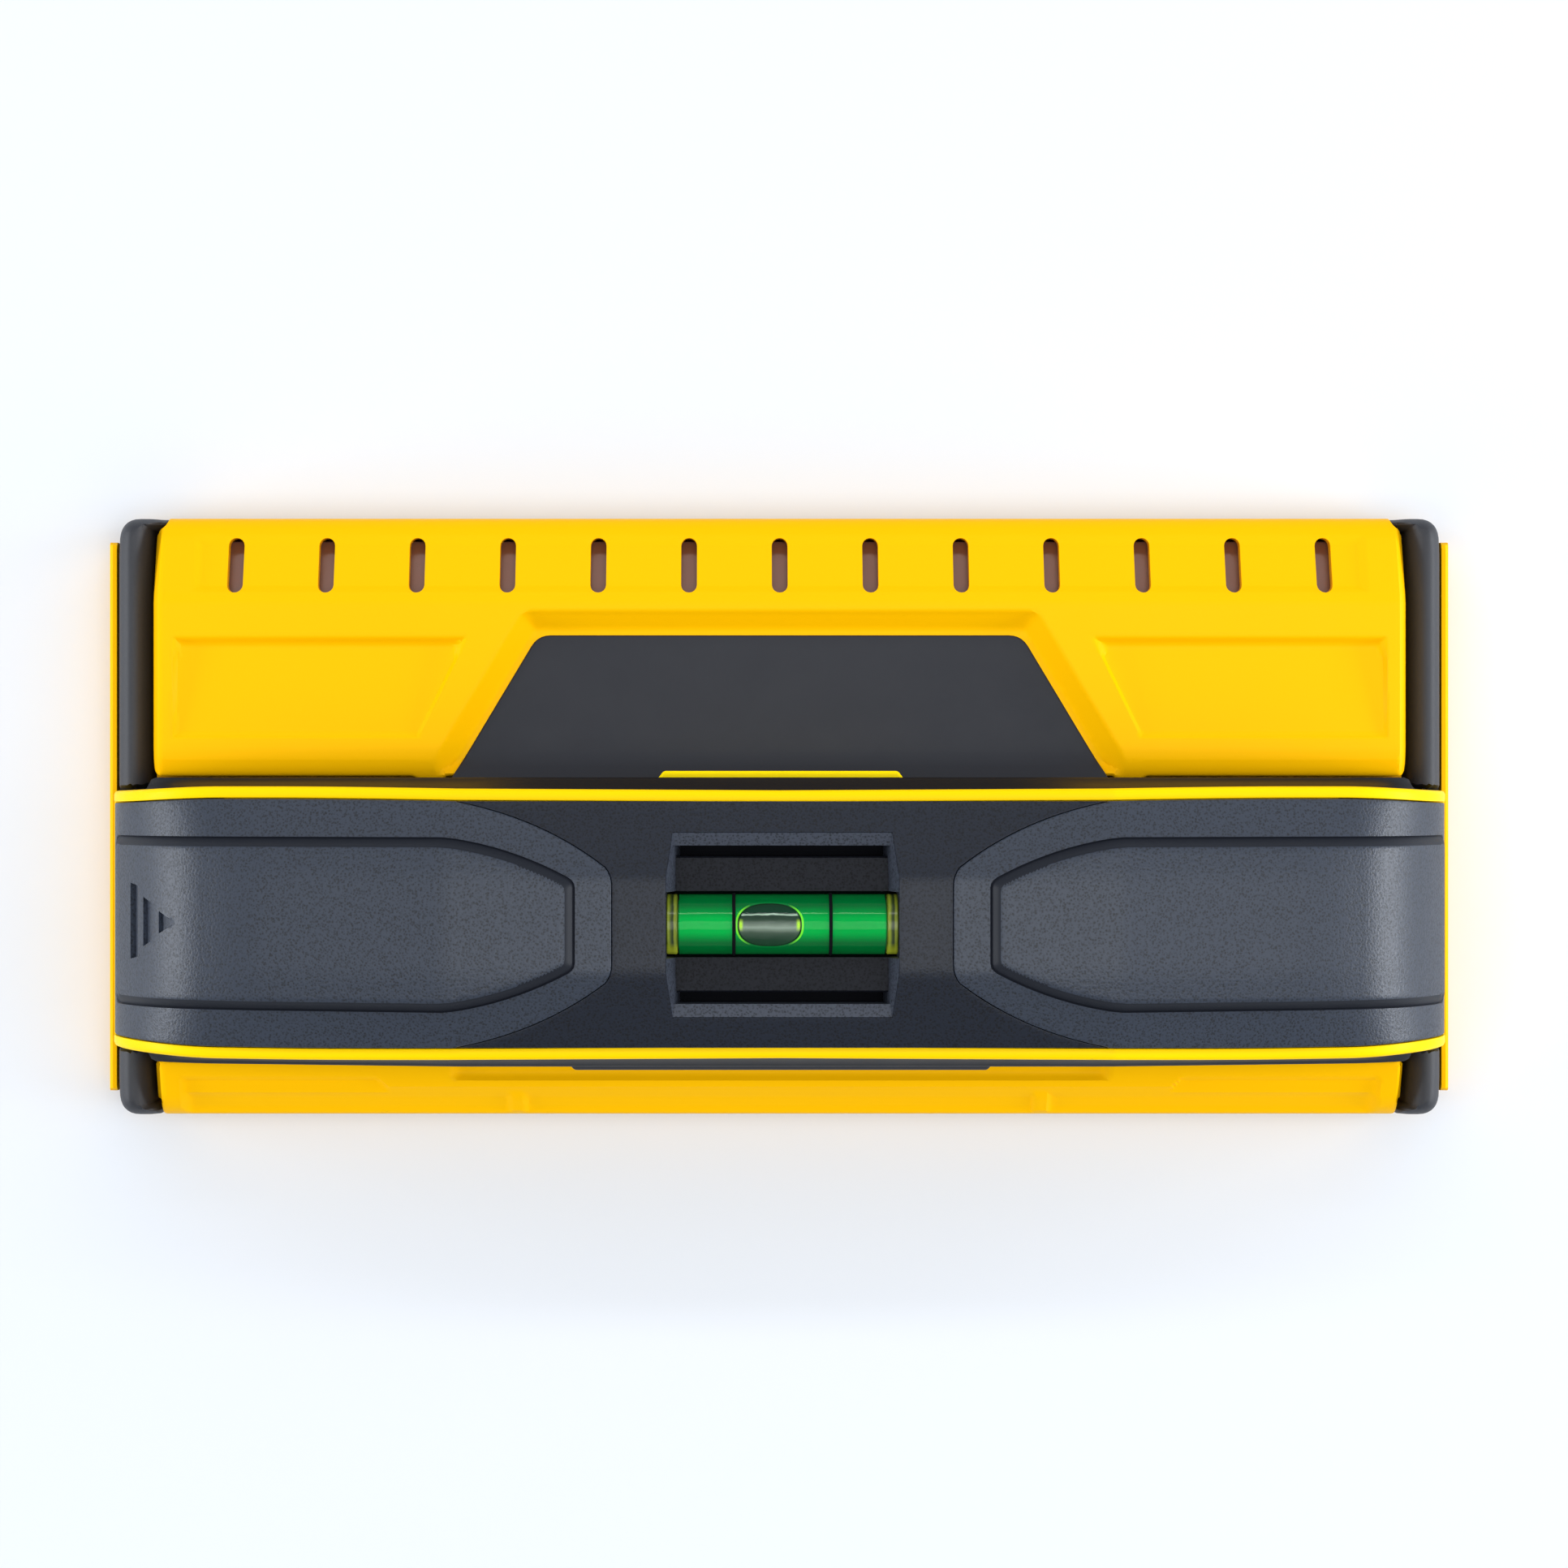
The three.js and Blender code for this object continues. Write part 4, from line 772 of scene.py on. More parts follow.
def camera():
    """A straight-down view of the front."""
    scene = bpy.context.scene
    scene.view_settings.view_transform = "Standard"
    scene.view_settings.look = "None"
    data = bpy.data.cameras.new("camera")
    data.sensor_width = 36.0
    data.lens = data.sensor_width * VIEW_DISTANCE / VIEW_WIDTH
    data.shift_x = VIEW_SHIFT
    eye = bpy.data.objects.new("camera", data)
    eye.location = Vector((*VIEW_CENTRE, VIEW_DISTANCE)) * MM
    scene.collection.objects.link(eye)
    scene.camera = eye


def lights():
    world = bpy.data.worlds.new("studio")
    world.use_nodes = True
    background = world.node_tree.nodes["Background"]
    background.inputs["Color"].default_value = (0.92, 0.96, 1.0, 1)
    background.inputs["Strength"].default_value = 0.55
    bpy.context.scene.world = world
    target = Vector((0, 0, 10)) * MM
    for name, place, size, power, colour, aimed in LAMPS:
        light = bpy.data.lights.new(name, "AREA")
        light.shape = "RECTANGLE"
        light.size, light.size_y = size[0] * MM, size[1] * MM
        light.energy = power
        light.color = colour
        lamp = bpy.data.objects.new(name, light)
        lamp.location = Vector(place) * MM
        if aimed:
            lamp.rotation_euler = (target - lamp.location).to_track_quat("-Z", "Y").to_euler()
        bpy.context.scene.collection.objects.link(lamp)


def floor():
    n = Nodes("studio_floor")
    tone = n.mix(n.span(n.noise(6, 2, 0.5), 0.0, 0.2), (0.735, 0.765, 0.815, 1), (0.72, 0.75, 0.80, 1))
    paper = n.finish(Base_Color=tone, Roughness=0.9)
    mesh = bpy.data.meshes.new("floor")
    corners = [(x * FLOOR_REACH, y * FLOOR_REACH, 0) for x, y in ((-1, -1), (1, -1), (1, 1), (-1, 1))]
    mesh.from_pydata(corners, [], [(0, 1, 2, 3)])
    mesh.materials.append(paper)
    obj = bpy.data.objects.new("floor", mesh)
    bpy.context.scene.collection.objects.link(obj)
    obj.location.z = -FLOOR_DROP * MM


# ---------------------------------------------------------------- yellow front housing

PANEL_X = HOUSING_HIGH[0] - 0.1
UPPER_EDGE = LABEL_LOW[1] + 0.1
LOWER_EDGE = HANDLE_Y - 19.2
TAB_X0, TAB_X1, TAB_REACH = 44.6, 48.2, 0.45
SHELL_SPACING = 0.42

# the label's recess
LABEL_TOP = LABEL_HIGH[1] + GAP
LABEL_TOP_HALF, LABEL_LOW_HALF = 32.4, 43.6
LABEL_Z = LABEL_HIGH[2]
LABEL_CORNER = 3.0
LABEL_BEVEL = 3.1
LABEL_BED = 0.25

# the sunk panel on each side: its lower and upper edge, its outer end, and its slanted inner end
SIDE_LOW, SIDE_HIGH, SIDE_END = 10.4, 23.95, 80.2
SIDE_START_LOW, SIDE_START_HIGH = 47.6, 41.0
SIDE_BEVEL_TOP, SIDE_BEVEL_LOW = 1.45, 0.5
SIDE_DEPTH_TOP, SIDE_DEPTH_LOW = 1.05, 0.28

# the shallow strip round the slots
STRIP_HALF, STRIP_LOW, STRIP_HIGH = 77.6, 29.5, 37.25
STRIP_DEPTH, STRIP_BEVEL = 0.32, 1.1

# heights of the upper panel across its width
STRIP_FOOT = DECK - (STRIP_BEND - STRIP_START) * math.tan(STRIP_TILT)
DECK_PROFILE = [
    (5.0, DECK - 1.3), (6.2, DECK - 0.7), (7.6, DECK - 0.22), (8.9, DECK - 0.02), (9.5, DECK),
    (STRIP_START - 0.7, DECK), (STRIP_START + 0.5, DECK - 0.22), (STRIP_BEND, STRIP_FOOT),
    (38.4, STRIP_FOOT - 0.75), (39.1, STRIP_FOOT - 1.35), (39.5, STRIP_FOOT - 1.95),
    (39.75, STRIP_FOOT - 2.9),
]
# heights of the lower panel across its width
LOWER_PROFILE = [
    (-39.75, 10.9), (-39.6, 11.9), (-39.2, 13.0), (-38.6, 13.9), (-37.4, 14.9), (-36.9, 15.15),
    (-34.0, 16.35),
    (-32.0, 17.1),
]
# how far both panels drop towards the bumpers
UPPER_END_DROP = [(81.7, 0), (82.0, 0.12), (82.25, 0.5), (PANEL_X, 3.0)]
LOWER_END_DROP = [(81.75, 0), (81.95, 0.1), (82.15, 0.45), (82.35, 3.4), (PANEL_X, 3.9)]
# how far down the label's bevel has come, from none to all, by the distance in from its outer edge
LABEL_SINK = [(-0.3, 0), (0.0, 0.04), (0.3, 0.2), (LABEL_BEVEL * 0.78, 0.97), (LABEL_BEVEL * 0.95, 1.0)]

# reliefs of the lower panel: the recess near each end, the sunk middle and the three long flats
RECESS_DEPTH, MIDDLE_DEPTH, FLAT_DEPTH = 0.62, 1.0, 0.7
RECESS_TOP = [(51.8, -35.85), (53.4, -34.35)]
RIB_X = 34.8


def upper_outline():
    low = UPPER_EDGE
    high = HALF_WIDTH - 0.05
    right = [(TAB_X0 - 0.6, low), (TAB_X0 - 0.1, low - TAB_REACH)]
    right += [(TAB_X1 - 0.6, low - TAB_REACH), (TAB_X1 + 0.4, low)]
    right += curve((PANEL_X - 1.6, low), (PANEL_X, low), (PANEL_X, low + 1.6), 5)
    right += [(PANEL_X, high - 2.2)]
    right += curve((PANEL_X - 0.9, high - 1.5), (PANEL_X - 1.7, high - 1.2), (PANEL_X - 1.9, high), 4)
    return right + mirror(right)


def lower_outline():
    low = -HALF_WIDTH + 0.05
    high = LOWER_EDGE + GAP
    inner = PANEL_X - 0.85
    right = curve((PANEL_X - 1.4, low), (PANEL_X - 0.9, low), (inner, low + 0.5), 4)
    right += [(inner, low + 1.6), (PANEL_X, low + 2.2), (PANEL_X, high - 0.6), (PANEL_X - 0.6, high)]
    return right + mirror(right)


def label_outline(grow):
    """The trapezoid of the label plate, grown outwards; its lower edge runs under the handle."""
    low = UPPER_EDGE - 0.6
    slant = (LABEL_LOW_HALF - LABEL_TOP_HALF) / (LABEL_TOP - UPPER_EDGE)
    high = LABEL_TOP + grow
    low_half = LABEL_LOW_HALF + grow * math.hypot(1, slant)
    high_half = low_half - slant * (high - low)
    corner = max(LABEL_CORNER - grow * 0.3, 0.6)
    return rounded([
        (-low_half, low, 0), (low_half, low, 0), (high_half, high, corner), (-high_half, high, corner),
    ])


def side_outline(grow):
    """The sunk panel at +X."""
    slope = (SIDE_START_LOW - SIDE_START_HIGH) / (SIDE_HIGH - SIDE_LOW)
    corner = 0.3
    low, high = SIDE_LOW - grow * 0.5, SIDE_HIGH + grow
    outer = SIDE_END + grow * 0.4
    starts = [SIDE_START_LOW - (y - SIDE_LOW) * slope - grow * 1.1 for y in (low, high)]
    plan = [(starts[0], low), (outer, low), (outer, high), (starts[1], high)]
    return rounded([(x, y, corner) for x, y in plan], 2)


def strip_outline(grow):
    x, low, high = STRIP_HALF + grow, STRIP_LOW - grow, STRIP_HIGH + grow
    return rounded([(px, py, 0.5) for px, py in ((-x, low), (x, low), (x, high), (-x, high))], 3)


def slot_outline(x, grow=0.0):
    radius = SLOT_WIDTH / 2 + grow
    far = arc(x, SLOT_END - SLOT_WIDTH / 2, radius, 0, 180, 8)
    return far + arc(x, SLOT_START + SLOT_WIDTH / 2, radius, 180, 360, 8)


def upper_height(x, y):
    z = interp(y, DECK_PROFILE) - interp(np.abs(x), UPPER_END_DROP)
    # sunk label with a wide bevel
    sink = interp(signed_distance(label_outline(LABEL_BEVEL), x, y), LABEL_SINK)
    z = np.minimum(z, lerp(DECK, LABEL_Z - LABEL_BED, sink))
    # side panels, deeper at the top
    depth = lerp(SIDE_DEPTH_LOW, SIDE_DEPTH_TOP, np.clip((y - SIDE_LOW) / 13.5, 0, 1))
    wide = lerp(SIDE_BEVEL_LOW, SIDE_BEVEL_TOP, smooth(20.5, 23.0, y))
    for side in (-1, 1):
        z = z - depth * smooth(0, 1, signed_distance(side_outline(0), x * side, y) / wide)
    # shallow strip round the slots
    z = z - STRIP_DEPTH * smooth(0, STRIP_BEVEL, signed_distance(strip_outline(0), x, y))
    # rounded edge, except along the strip's outer side
    return z - edge_round(signed_distance(upper_outline(), x, y), EDGE_ROUND) * (y < 38)


def lower_height(x, y):
    side = np.abs(x)
    z = interp(y, LOWER_PROFILE) - interp(side, LOWER_END_DROP)
    # side recess, whose inner end steps away from the handle
    recess = smooth(0, 0.5, interp(side, RECESS_TOP) - y)
    recess = recess * smooth(79.6, 78.9, side) * smooth(-39.4, -38.6, y)
    # middle band, sunk between the step and the handle
    middle = smooth(44.0, 42.6, side) * smooth(-35.2, -34.4, y) * smooth(-35.3, -33.7, y)
    # three long flats low on the edge, with ribs between them
    flats = smooth(0.75, 1.35, np.abs(side - RIB_X)) * smooth(79.2, 78.2, side)
    flats = flats * smooth(-36.6, -37.2, y) * smooth(-39.7, -39.0, y)
    z = z - RECESS_DEPTH * recess - MIDDLE_DEPTH * middle - FLAT_DEPTH * flats
    return z - edge_round(signed_distance(lower_outline(), x, y), EDGE_ROUND) * (y > -38)


def front_housing():
    outline = upper_outline()
    lines = round_lines(outline, EDGE_ROUND) + [offset(outline, WALL), offset(outline, WALL + 0.06)]
    for grow in (LABEL_BEVEL + 0.3, LABEL_BEVEL, LABEL_BEVEL - 0.3, LABEL_BEVEL * 0.22, 0.15):
        lines.append([(x, max(y, UPPER_EDGE + 0.7)) for x, y in label_outline(grow)])
    for inset in (0.0, -0.25, -0.5):
        lines += [side_outline(inset), mirror(side_outline(inset))]
    lines += [strip_outline(0.0), strip_outline(-STRIP_BEVEL)]
    lines += [slot_outline(x, 0.25) for x in SLOTS]
    upper = sheet_grid(outline, [slot_outline(x) for x in SLOTS], lines, SHELL_SPACING)

    def under(x, y):
        """The under side of the shell, with a skirt round its edge down to the split line."""
        skirt = signed_distance(outline, x, y) < WALL + 0.001
        return np.where(skirt, SPLIT, upper_height(x, y) - WALL)

    low = lower_outline()
    lower = sheet_grid(low, [], round_lines(low, EDGE_ROUND), SHELL_SPACING)
    parts = [
        slab(upper, level(upper_height), level(under)),
        slab(lower, level(lower_height), level(SPLIT)),
        block((-PANEL_X, LOWER_EDGE - 1.0, SPLIT), (PANEL_X, UPPER_EDGE + 1.0, BASE_LOW[2] - 0.5)),
    ]
    piece("front_shell", joined(parts), YELLOW, "front_housing")


def label_plate():
    outline = label_outline(-0.05)
    radius = 0.3

    def top(x, y):
        fillet = 1.7 * smooth(8.6, 5.3, y) ** 1.4
        return LABEL_Z - edge_round(signed_distance(outline, x, y), radius) + fillet

    grid = sheet_grid(outline, [], round_lines(outline, radius), 1.2)
    piece("label_panel", slab(grid, level(top), level(LABEL_LOW[2])), PANEL, "label_plate")


# ---------------------------------------------------------------- bumpers


def bumper(side):
    inner, outer = BUMPER_LOW[0] + 2.45, BUMPER_HIGH[0] - 0.15
    lip = BUMPER_LOW[0]
    low_lip = lip + 1.3
    notch = TRIM_HALF + 0.55
    round_wide, round_deep = 2.4, 4.4
    right = [(inner, -EDGE_Y + 1.6), (low_lip + 0.4, -EDGE_Y + 1.25), (low_lip, -EDGE_Y + 0.6)]
    right += [(low_lip + 0.3, -EDGE_Y)]
    corner = curve((outer - 2.9, -EDGE_Y), (outer - 0.4, -EDGE_Y), (outer - 0.1, -EDGE_Y + 2.6), 7)
    right += corner + [(outer, -EDGE_Y + 5), (outer, EDGE_Y - 5)] + flip(corner)
    right += [(lip + 0.3, EDGE_Y), (lip, EDGE_Y - 0.6), (lip + 0.4, EDGE_Y - 1.25), (inner, EDGE_Y - 1.6)]
    outline = right if side > 0 else mirror(right)

    def height(x, y):
        body = smooth(notch - 0.25, notch, np.abs(y - HANDLE_Y))
        # the lip at each end is lower than the body
        ends = smooth(84.2, 82.0, np.abs(x)) * 2.0
        drop = edge_round(signed_distance(outline, x, y), round_wide) * round_deep / round_wide
        crown = BUMPER_HIGH[2] - drop - ends
        return lerp(np.minimum(crown, ARCH_LOW - 0.5), crown, body)

    lines = [offset(outline, r) for r in (0.05, 0.2, 0.5, 0.9, 1.6, round_wide)]
    grid = sheet_grid(outline, [], lines, 0.6)
    name = "right" if side > 0 else "left"
    piece(f"{name}_bumper_rubber", slab(grid, level(height), level(BUMPER_LOW[2])), RUBBER, f"{name}_bumper")


# ---------------------------------------------------------------- handle

# the flank of the handle base, from the foot up: the way from its widest edge (0) to its waist (1) or,
# past 1, from its widest edge to its top (2), then a small shift outwards, and the height from 0 to 1
EDGE_HALF, WAIST_HALF = 18.6, 17.4
FLANK = [
    (0, 0.0, 0.0), (0, 0.0, 0.235), (0, -0.15, 0.262), (0.5, 0.0, 0.30), (1, 0.12, 0.335), (1, 0.0, 0.39),
    (1, 0.0, 0.6), (1, 0.15, 0.645), (0.45, 0.0, 0.675), (0, -0.25, 0.695), (0, 0.0, 0.715), (0, 0.0, 0.765),
    (0, -0.2, 0.785), (0, -0.42, 0.80), (1.62, 0.0, 0.9), (2, 0.05, 0.975), (2, 0.0, 0.985), (2, 0.0, 1.0),
]
FOOT_POINTS = 3
FOOT_HALF_UPPER, FOOT_GROW_LOWER = 18.5, 0.3
BUTTON_RIM = 1.2


def flank_section(x):
    """Half section of the handle base at x: [distance from the centre line, height] from the foot up."""
    high = float(arch_height(x, -TRIM_DEPTH - GAP + 0.15))
    top = float(trim_half(x)) - 0.05
    edge = lerp(EDGE_HALF, top + 0.1, float(smooth(82.3, 83.5, abs(x))))
    waist = lerp(WAIST_HALF, top, float(smooth(77, 84, abs(x))))
    section = []
    for reach, shift, part in FLANK:
        half = lerp(edge, waist, reach) if reach <= 1 else lerp(edge, top, reach - 1)
        section.append((half + shift, lerp(BASE_LOW[2], high, part)))
    return section


def handle_base():
    end = BASE_HIGH[0]
    steps = [np.linspace(0, 36, 7), np.linspace(39, 45, 7), np.linspace(50, 70, 5), np.linspace(72, end, 18)]
    rings = []
    for x in sorted({round(side * v, 3) for side in (-1, 1) for v in np.concatenate(steps)}):
        section = flank_section(x)
        right, left = [], []
        for k, (half, z) in enumerate(section):
            foot = k < FOOT_POINTS
            right.append((x, HANDLE_Y + (min(half, FOOT_HALF_UPPER) if foot else half), z))
            left.append((x, HANDLE_Y - (half + FOOT_GROW_LOWER if foot else half), z))
        rings.append(right + left[::-1])
    obj = piece("handle_body", loft(rings), BLACK, "handle_base", sharp=SOFT_SHARP_ANGLE)
    inner = trim_half(66) - TRIM_RIM
    roof = ARCH_TOP + 5
    sill = ARCH_LOW + END_BAR - 0.6
    key_half = BUTTON_HIGH[0] - BUTTON_RIM + GAP
    key_low, key_high = BUTTON_LOW[2] + BUTTON_RIM - GAP, BUTTON_HIGH[2] - BUTTON_RIM + GAP
    carve(obj, (-end + 1.5, HANDLE_Y - inner, BASE_LOW[2] - 5), (end - 1.5, HANDLE_Y + inner, roof))
    carve(obj, (-end - 5, HANDLE_Y - inner, sill), (end + 5, HANDLE_Y + inner, roof))
    carve(obj, (-key_half, HANDLE_Y + 10, key_low), (key_half, HANDLE_Y + 30, key_high))


def rail_section(outer):
    """Closed rounded section of the trim rail whose outer side is at this distance: [y, rise] points."""
    inner = outer - TRIM_RIM
    radius = 0.5
    return [
        (inner, -TRIM_DEPTH), (outer, -TRIM_DEPTH), (outer, -radius), (outer - radius * 0.3, -radius * 0.3),
        (outer - radius, 0.0), (inner + radius * 0.5, 0.0), (inner + radius * 0.1, -radius * 0.12),
        (inner, -radius * 0.5),
    ]


def ledge_section(outer):
    """The ledge inside the trim that the cover and the grips rest on."""
    inner = outer - TRIM_RIM
    ledge_top = -1.3
    return [
        (inner - 0.7, -TRIM_DEPTH), (inner + 0.2, -TRIM_DEPTH),
        (inner + 0.2, ledge_top), (inner - 0.7, ledge_top),
    ]


def trim_frame():
    bend_end, ramp_end = FLAT_RUN + BEND_RUN, ARCH_RUN - SHOULDER_RUN
    half_runs = np.concatenate([
        np.linspace(-ARCH_RUN, -ramp_end, 26)[:-1], np.linspace(-ramp_end, -bend_end, 12)[:-1],
        np.linspace(-bend_end, -FLAT_RUN, 6),
    ])
    rail_runs = np.concatenate([half_runs, [0.0], -half_runs[::-1]])
    ledge_runs = np.linspace(-FLAT_RUN - RAMP_RUN, FLAT_RUN + RAMP_RUN, 60)
    bar_half = float(trim_half(88)) - 0.4
    bar_top = [(ARCH_RUN - END_BAR, 0.25), (ARCH_RUN - END_BAR + 0.25, 0.0), (ARCH_RUN, 0.0)]
    parts = []
    for side in (-1, 1):
        for runs, section_at in ((rail_runs, rail_section), (ledge_runs, ledge_section)):
            rings = []
            for run in runs:
                section = section_at(float(trim_half(arch_frame(run)[0])))
                rings.append(arch_ring(run, section if side > 0 else mirror(section)))
            parts.append(loft(rings))
        # bar across the end
        parts.append(loft([arch_ring(side * run, [
            (-bar_half, -TRIM_DEPTH), (bar_half, -TRIM_DEPTH), (bar_half, -low), (-bar_half, -low),
        ]) for run, low in bar_top]))
    piece("trim_ring", joined(parts), TRIM_YELLOW, "trim_frame", sharp=SOFT_SHARP_ANGLE)


# ---- crown pieces, laid out in the plane of run and y and then bent over the arch

SEAM = 0.04
GRIP_END = ARCH_RUN - END_BAR - GAP
# the grip's tip and the arc of its inner end
TIP_X, TIP_HALF = box("right_grip")[0][0], 6.1
TIP_SHOULDER = (TIP_X + 0.8, TIP_HALF + 1.15)
HORN_CONTROL, HORN_END = (30.3, 13.4), (41.0, 15.45)
# the raised pad on the grip
PAD_TIP, PAD_HALF = 26.1, 11.0
PAD_RISE, PAD_END_RISE = 0.85, 0.45
PAD_LEVEL = 0.55
PAD_BAND = 1.45
GROOVE_DEPTH = 0.22
# the moulded arrow at the door's end: start and end along the run, half width at each, and depth
ARROW_END = ARCH_RUN - 1.0
ARROW = [(15.0, 12.6, 4.55, 4.95, 0.75), (18.4, 16.15, 2.3, 3.2, 0.6), (22.4, 19.45, 0.0, 1.45, 0.55)]
ARROW_TIP_HALF = 0.05

# the vial window: half sizes of its ends, corners and sides, and of the well and the bed under it
BULGE, WINDOW_CORNER, WINDOW_HALF = 14.6, 13.8, 11.6
WELL_HALF = 10.0
WELL_Z = 39.0
WALL_FOOT = 12.95
NOTCH_HALF = 4.1
COVER_STEP = 0.2
BED_HALF = (13.6, 8.6)
BED_FLOOR = box("vial_cradle")[0][2] + 2.0


def crown_edge(run):
    return trim_half(arch_frame(run)[0]) - TRIM_RIM - 0.12


def grip_outline():
    """The grip at +X: a blunt tip, arcs out to the sides, and straight to the end."""
    upper = curve((TIP_X, TIP_HALF - 1.1), (TIP_X, TIP_HALF + 0.2), TIP_SHOULDER, 4)
    upper += curve(TIP_SHOULDER, HORN_CONTROL, HORN_END, 14)[1:]
    upper += [(r, float(crown_edge(r))) for r in np.linspace(41.2, GRIP_END, 30)]
    return flip(upper) + upper


def pad_outline(inset=0.0):
    """The raised pad on the grip at +X; inset moves its edge inwards."""
    tip = PAD_TIP + inset
    half = PAD_HALF - inset
    end = ARCH_RUN - 6.4 - inset * 2.2
    shoulder = (tip + 1.0, 6.1 - inset * 0.5)
    upper = curve((tip, 4.7 - inset * 0.35), (tip, 5.6 - inset * 0.45), shoulder, 3)
    upper += curve(shoulder, (34.5 + inset * 0.3, 10.0 - inset), (42.5, half), 10)[1:]
    upper += [(55.0, half), (70.0, half)]
    upper += curve((end - 1.2, half), (end, half), (end, half - 1.2), 4)
    return flip(upper) + upper


def crown_solid(outline, holes, lines, spacing, extra):
    """A closed shell over the arch, and where its top faces are: the plan coordinates are run and y."""
    grid = sheet_grid(outline, holes, lines, spacing)

    def top(run, y):
        d = signed_distance(outline, run, y)
        for hole in holes:
            d = np.minimum(d, -signed_distance(hole, run, y))
        return arch_place(run, y, crown_rise(run, y) + extra(run, y) - edge_round(d, SHELL_ROUND))

    def under(run, y):
        return arch_place(run, y, crown_rise(run, y) - SHELL_THICK)

    flat, tris = grid
    return slab(grid, top, under), flat[tris].mean(axis=1)


def arrow_depth(run, y):
    """Depth of the moulded arrow: a bar, a block and a point, each deepest at its outer end."""
    deepest = 0 * run
    for back0, back1, half0, half1, deep in ARROW:
        start, end = ARROW_END - back0, ARROW_END - back1
        t = np.clip((run - start) / (end - start), 0, 1)
        inside = smooth(0, 0.1, end - run) * smooth(0, 0.14, lerp(half0, half1, t) - np.abs(y))
        deepest = np.maximum(deepest, inside * np.where(run > start, deep * t, 0))
    return deepest


def arrow_lines():
    """Outlines of the three marks, so that their edges stay crisp."""
    marks = []
    for back0, back1, half0, half1, _ in ARROW:
        start, end = ARROW_END - back0, ARROW_END - back1
        low = max(half0, ARROW_TIP_HALF)
        ring = [(start, -low), (end, -half1), (end, half1), (start, low)]
        marks += [ring, offset(ring, 0.12)]
    return marks


def grip(side):
    outline = grip_outline()
    lines = round_lines(outline, SHELL_ROUND)
    lines += [pad_outline(i) for i in (-0.06, 0.1, 0.4, 0.75, PAD_BAND - 0.25, PAD_BAND)]
    door = side < 0
    if door:
        lines = [mirror(line) for line in lines + arrow_lines()]
        outline = mirror(outline)

    def extra(run, y):
        r = np.abs(run)
        d = signed_distance(pad_outline(), r, y)
        height = lerp(PAD_RISE, PAD_END_RISE, smooth(ARCH_RUN - 30, ARCH_RUN - 12, r))
        facet = FACET_DROP * np.maximum(np.abs(y) - FLAT_HALF, 0) * (1 - crown_fade(r))
        groove = GROOVE_DEPTH * smooth(-0.05, 0.12, d) * smooth(0.6, 0.3, d)
        band = interp(d, [(0.1, 0), (PAD_BAND - 0.35, 0.9), (PAD_BAND, 1.0)])
        rise = (height + PAD_LEVEL * facet) * band - groove
        return rise - (arrow_depth(r, y) if door else 0)

    solid, centres = crown_solid(outline, [], lines, 0.5, extra)
    name, node = ("door_shell", "battery_door") if door else ("grip_shell", "right_grip")
    obj = piece(name, solid, GRIP, node)
    # the sloping band round the pad is smooth, and painted darker than the textured faces as painted shade
    obj.data.materials.append(GRIP_BAND_PAINTED_SHADE)
    inward = signed_distance(pad_outline(), np.abs(centres[:, 0]), centres[:, 1])
    band = (inward > -0.06) & (inward < PAD_BAND - 0.25)
    for polygon, dark in zip(obj.data.polygons, band):
        polygon.material_index = int(dark)


def window_outline():
    """The vial window: six sides, bulging at its ends, with extra points where the tube passes."""
    upper = [(BULGE, NOTCH_HALF), (BULGE, NOTCH_HALF + 0.1), (BULGE, FLAT_HALF + 0.2)]
    upper.append((WINDOW_CORNER, WINDOW_HALF))
    right = flip(upper) + upper
    return right + mirror(right)


def centre_cover():
    shoulder = (TIP_SHOULDER[0] - SEAM, TIP_SHOULDER[1] + SEAM)
    near = TIP_X - SEAM
    tip = curve((near, TIP_HALF - 1.1), (near, TIP_HALF + 0.2 + SEAM), shoulder, 4)
    control = (HORN_CONTROL[0] - SEAM, HORN_CONTROL[1] + SEAM)
    arm = curve(shoulder, control, (HORN_END[0], HORN_END[1] + SEAM), 14)
    horn = [(x, y) for x, y in arm if y < float(crown_edge(x)) - 0.06]
    last = horn[-1][0]
    upper = tip[:-1] + horn + [(last + 0.3, float(crown_edge(last)))]
    right = flip(upper) + upper
    outline = right + mirror(right)
    hole = window_outline()
    lines = round_lines(outline, SHELL_ROUND) + [offset(hole, -0.08), offset(hole, -0.3)]
    for side in (-1, 1):
        patch = [(side * x, y) for x, y in ((15.5, -5.5), (20.6, -5.5), (20.6, 5.5), (15.5, 5.5))]
        lines.append(patch[::side])
    solid, _ = crown_solid(outline, [hole], lines, 0.6, lambda run, y: -COVER_STEP + 0 * run)
    piece("cover_shell", solid, COVER, "centre_cover")


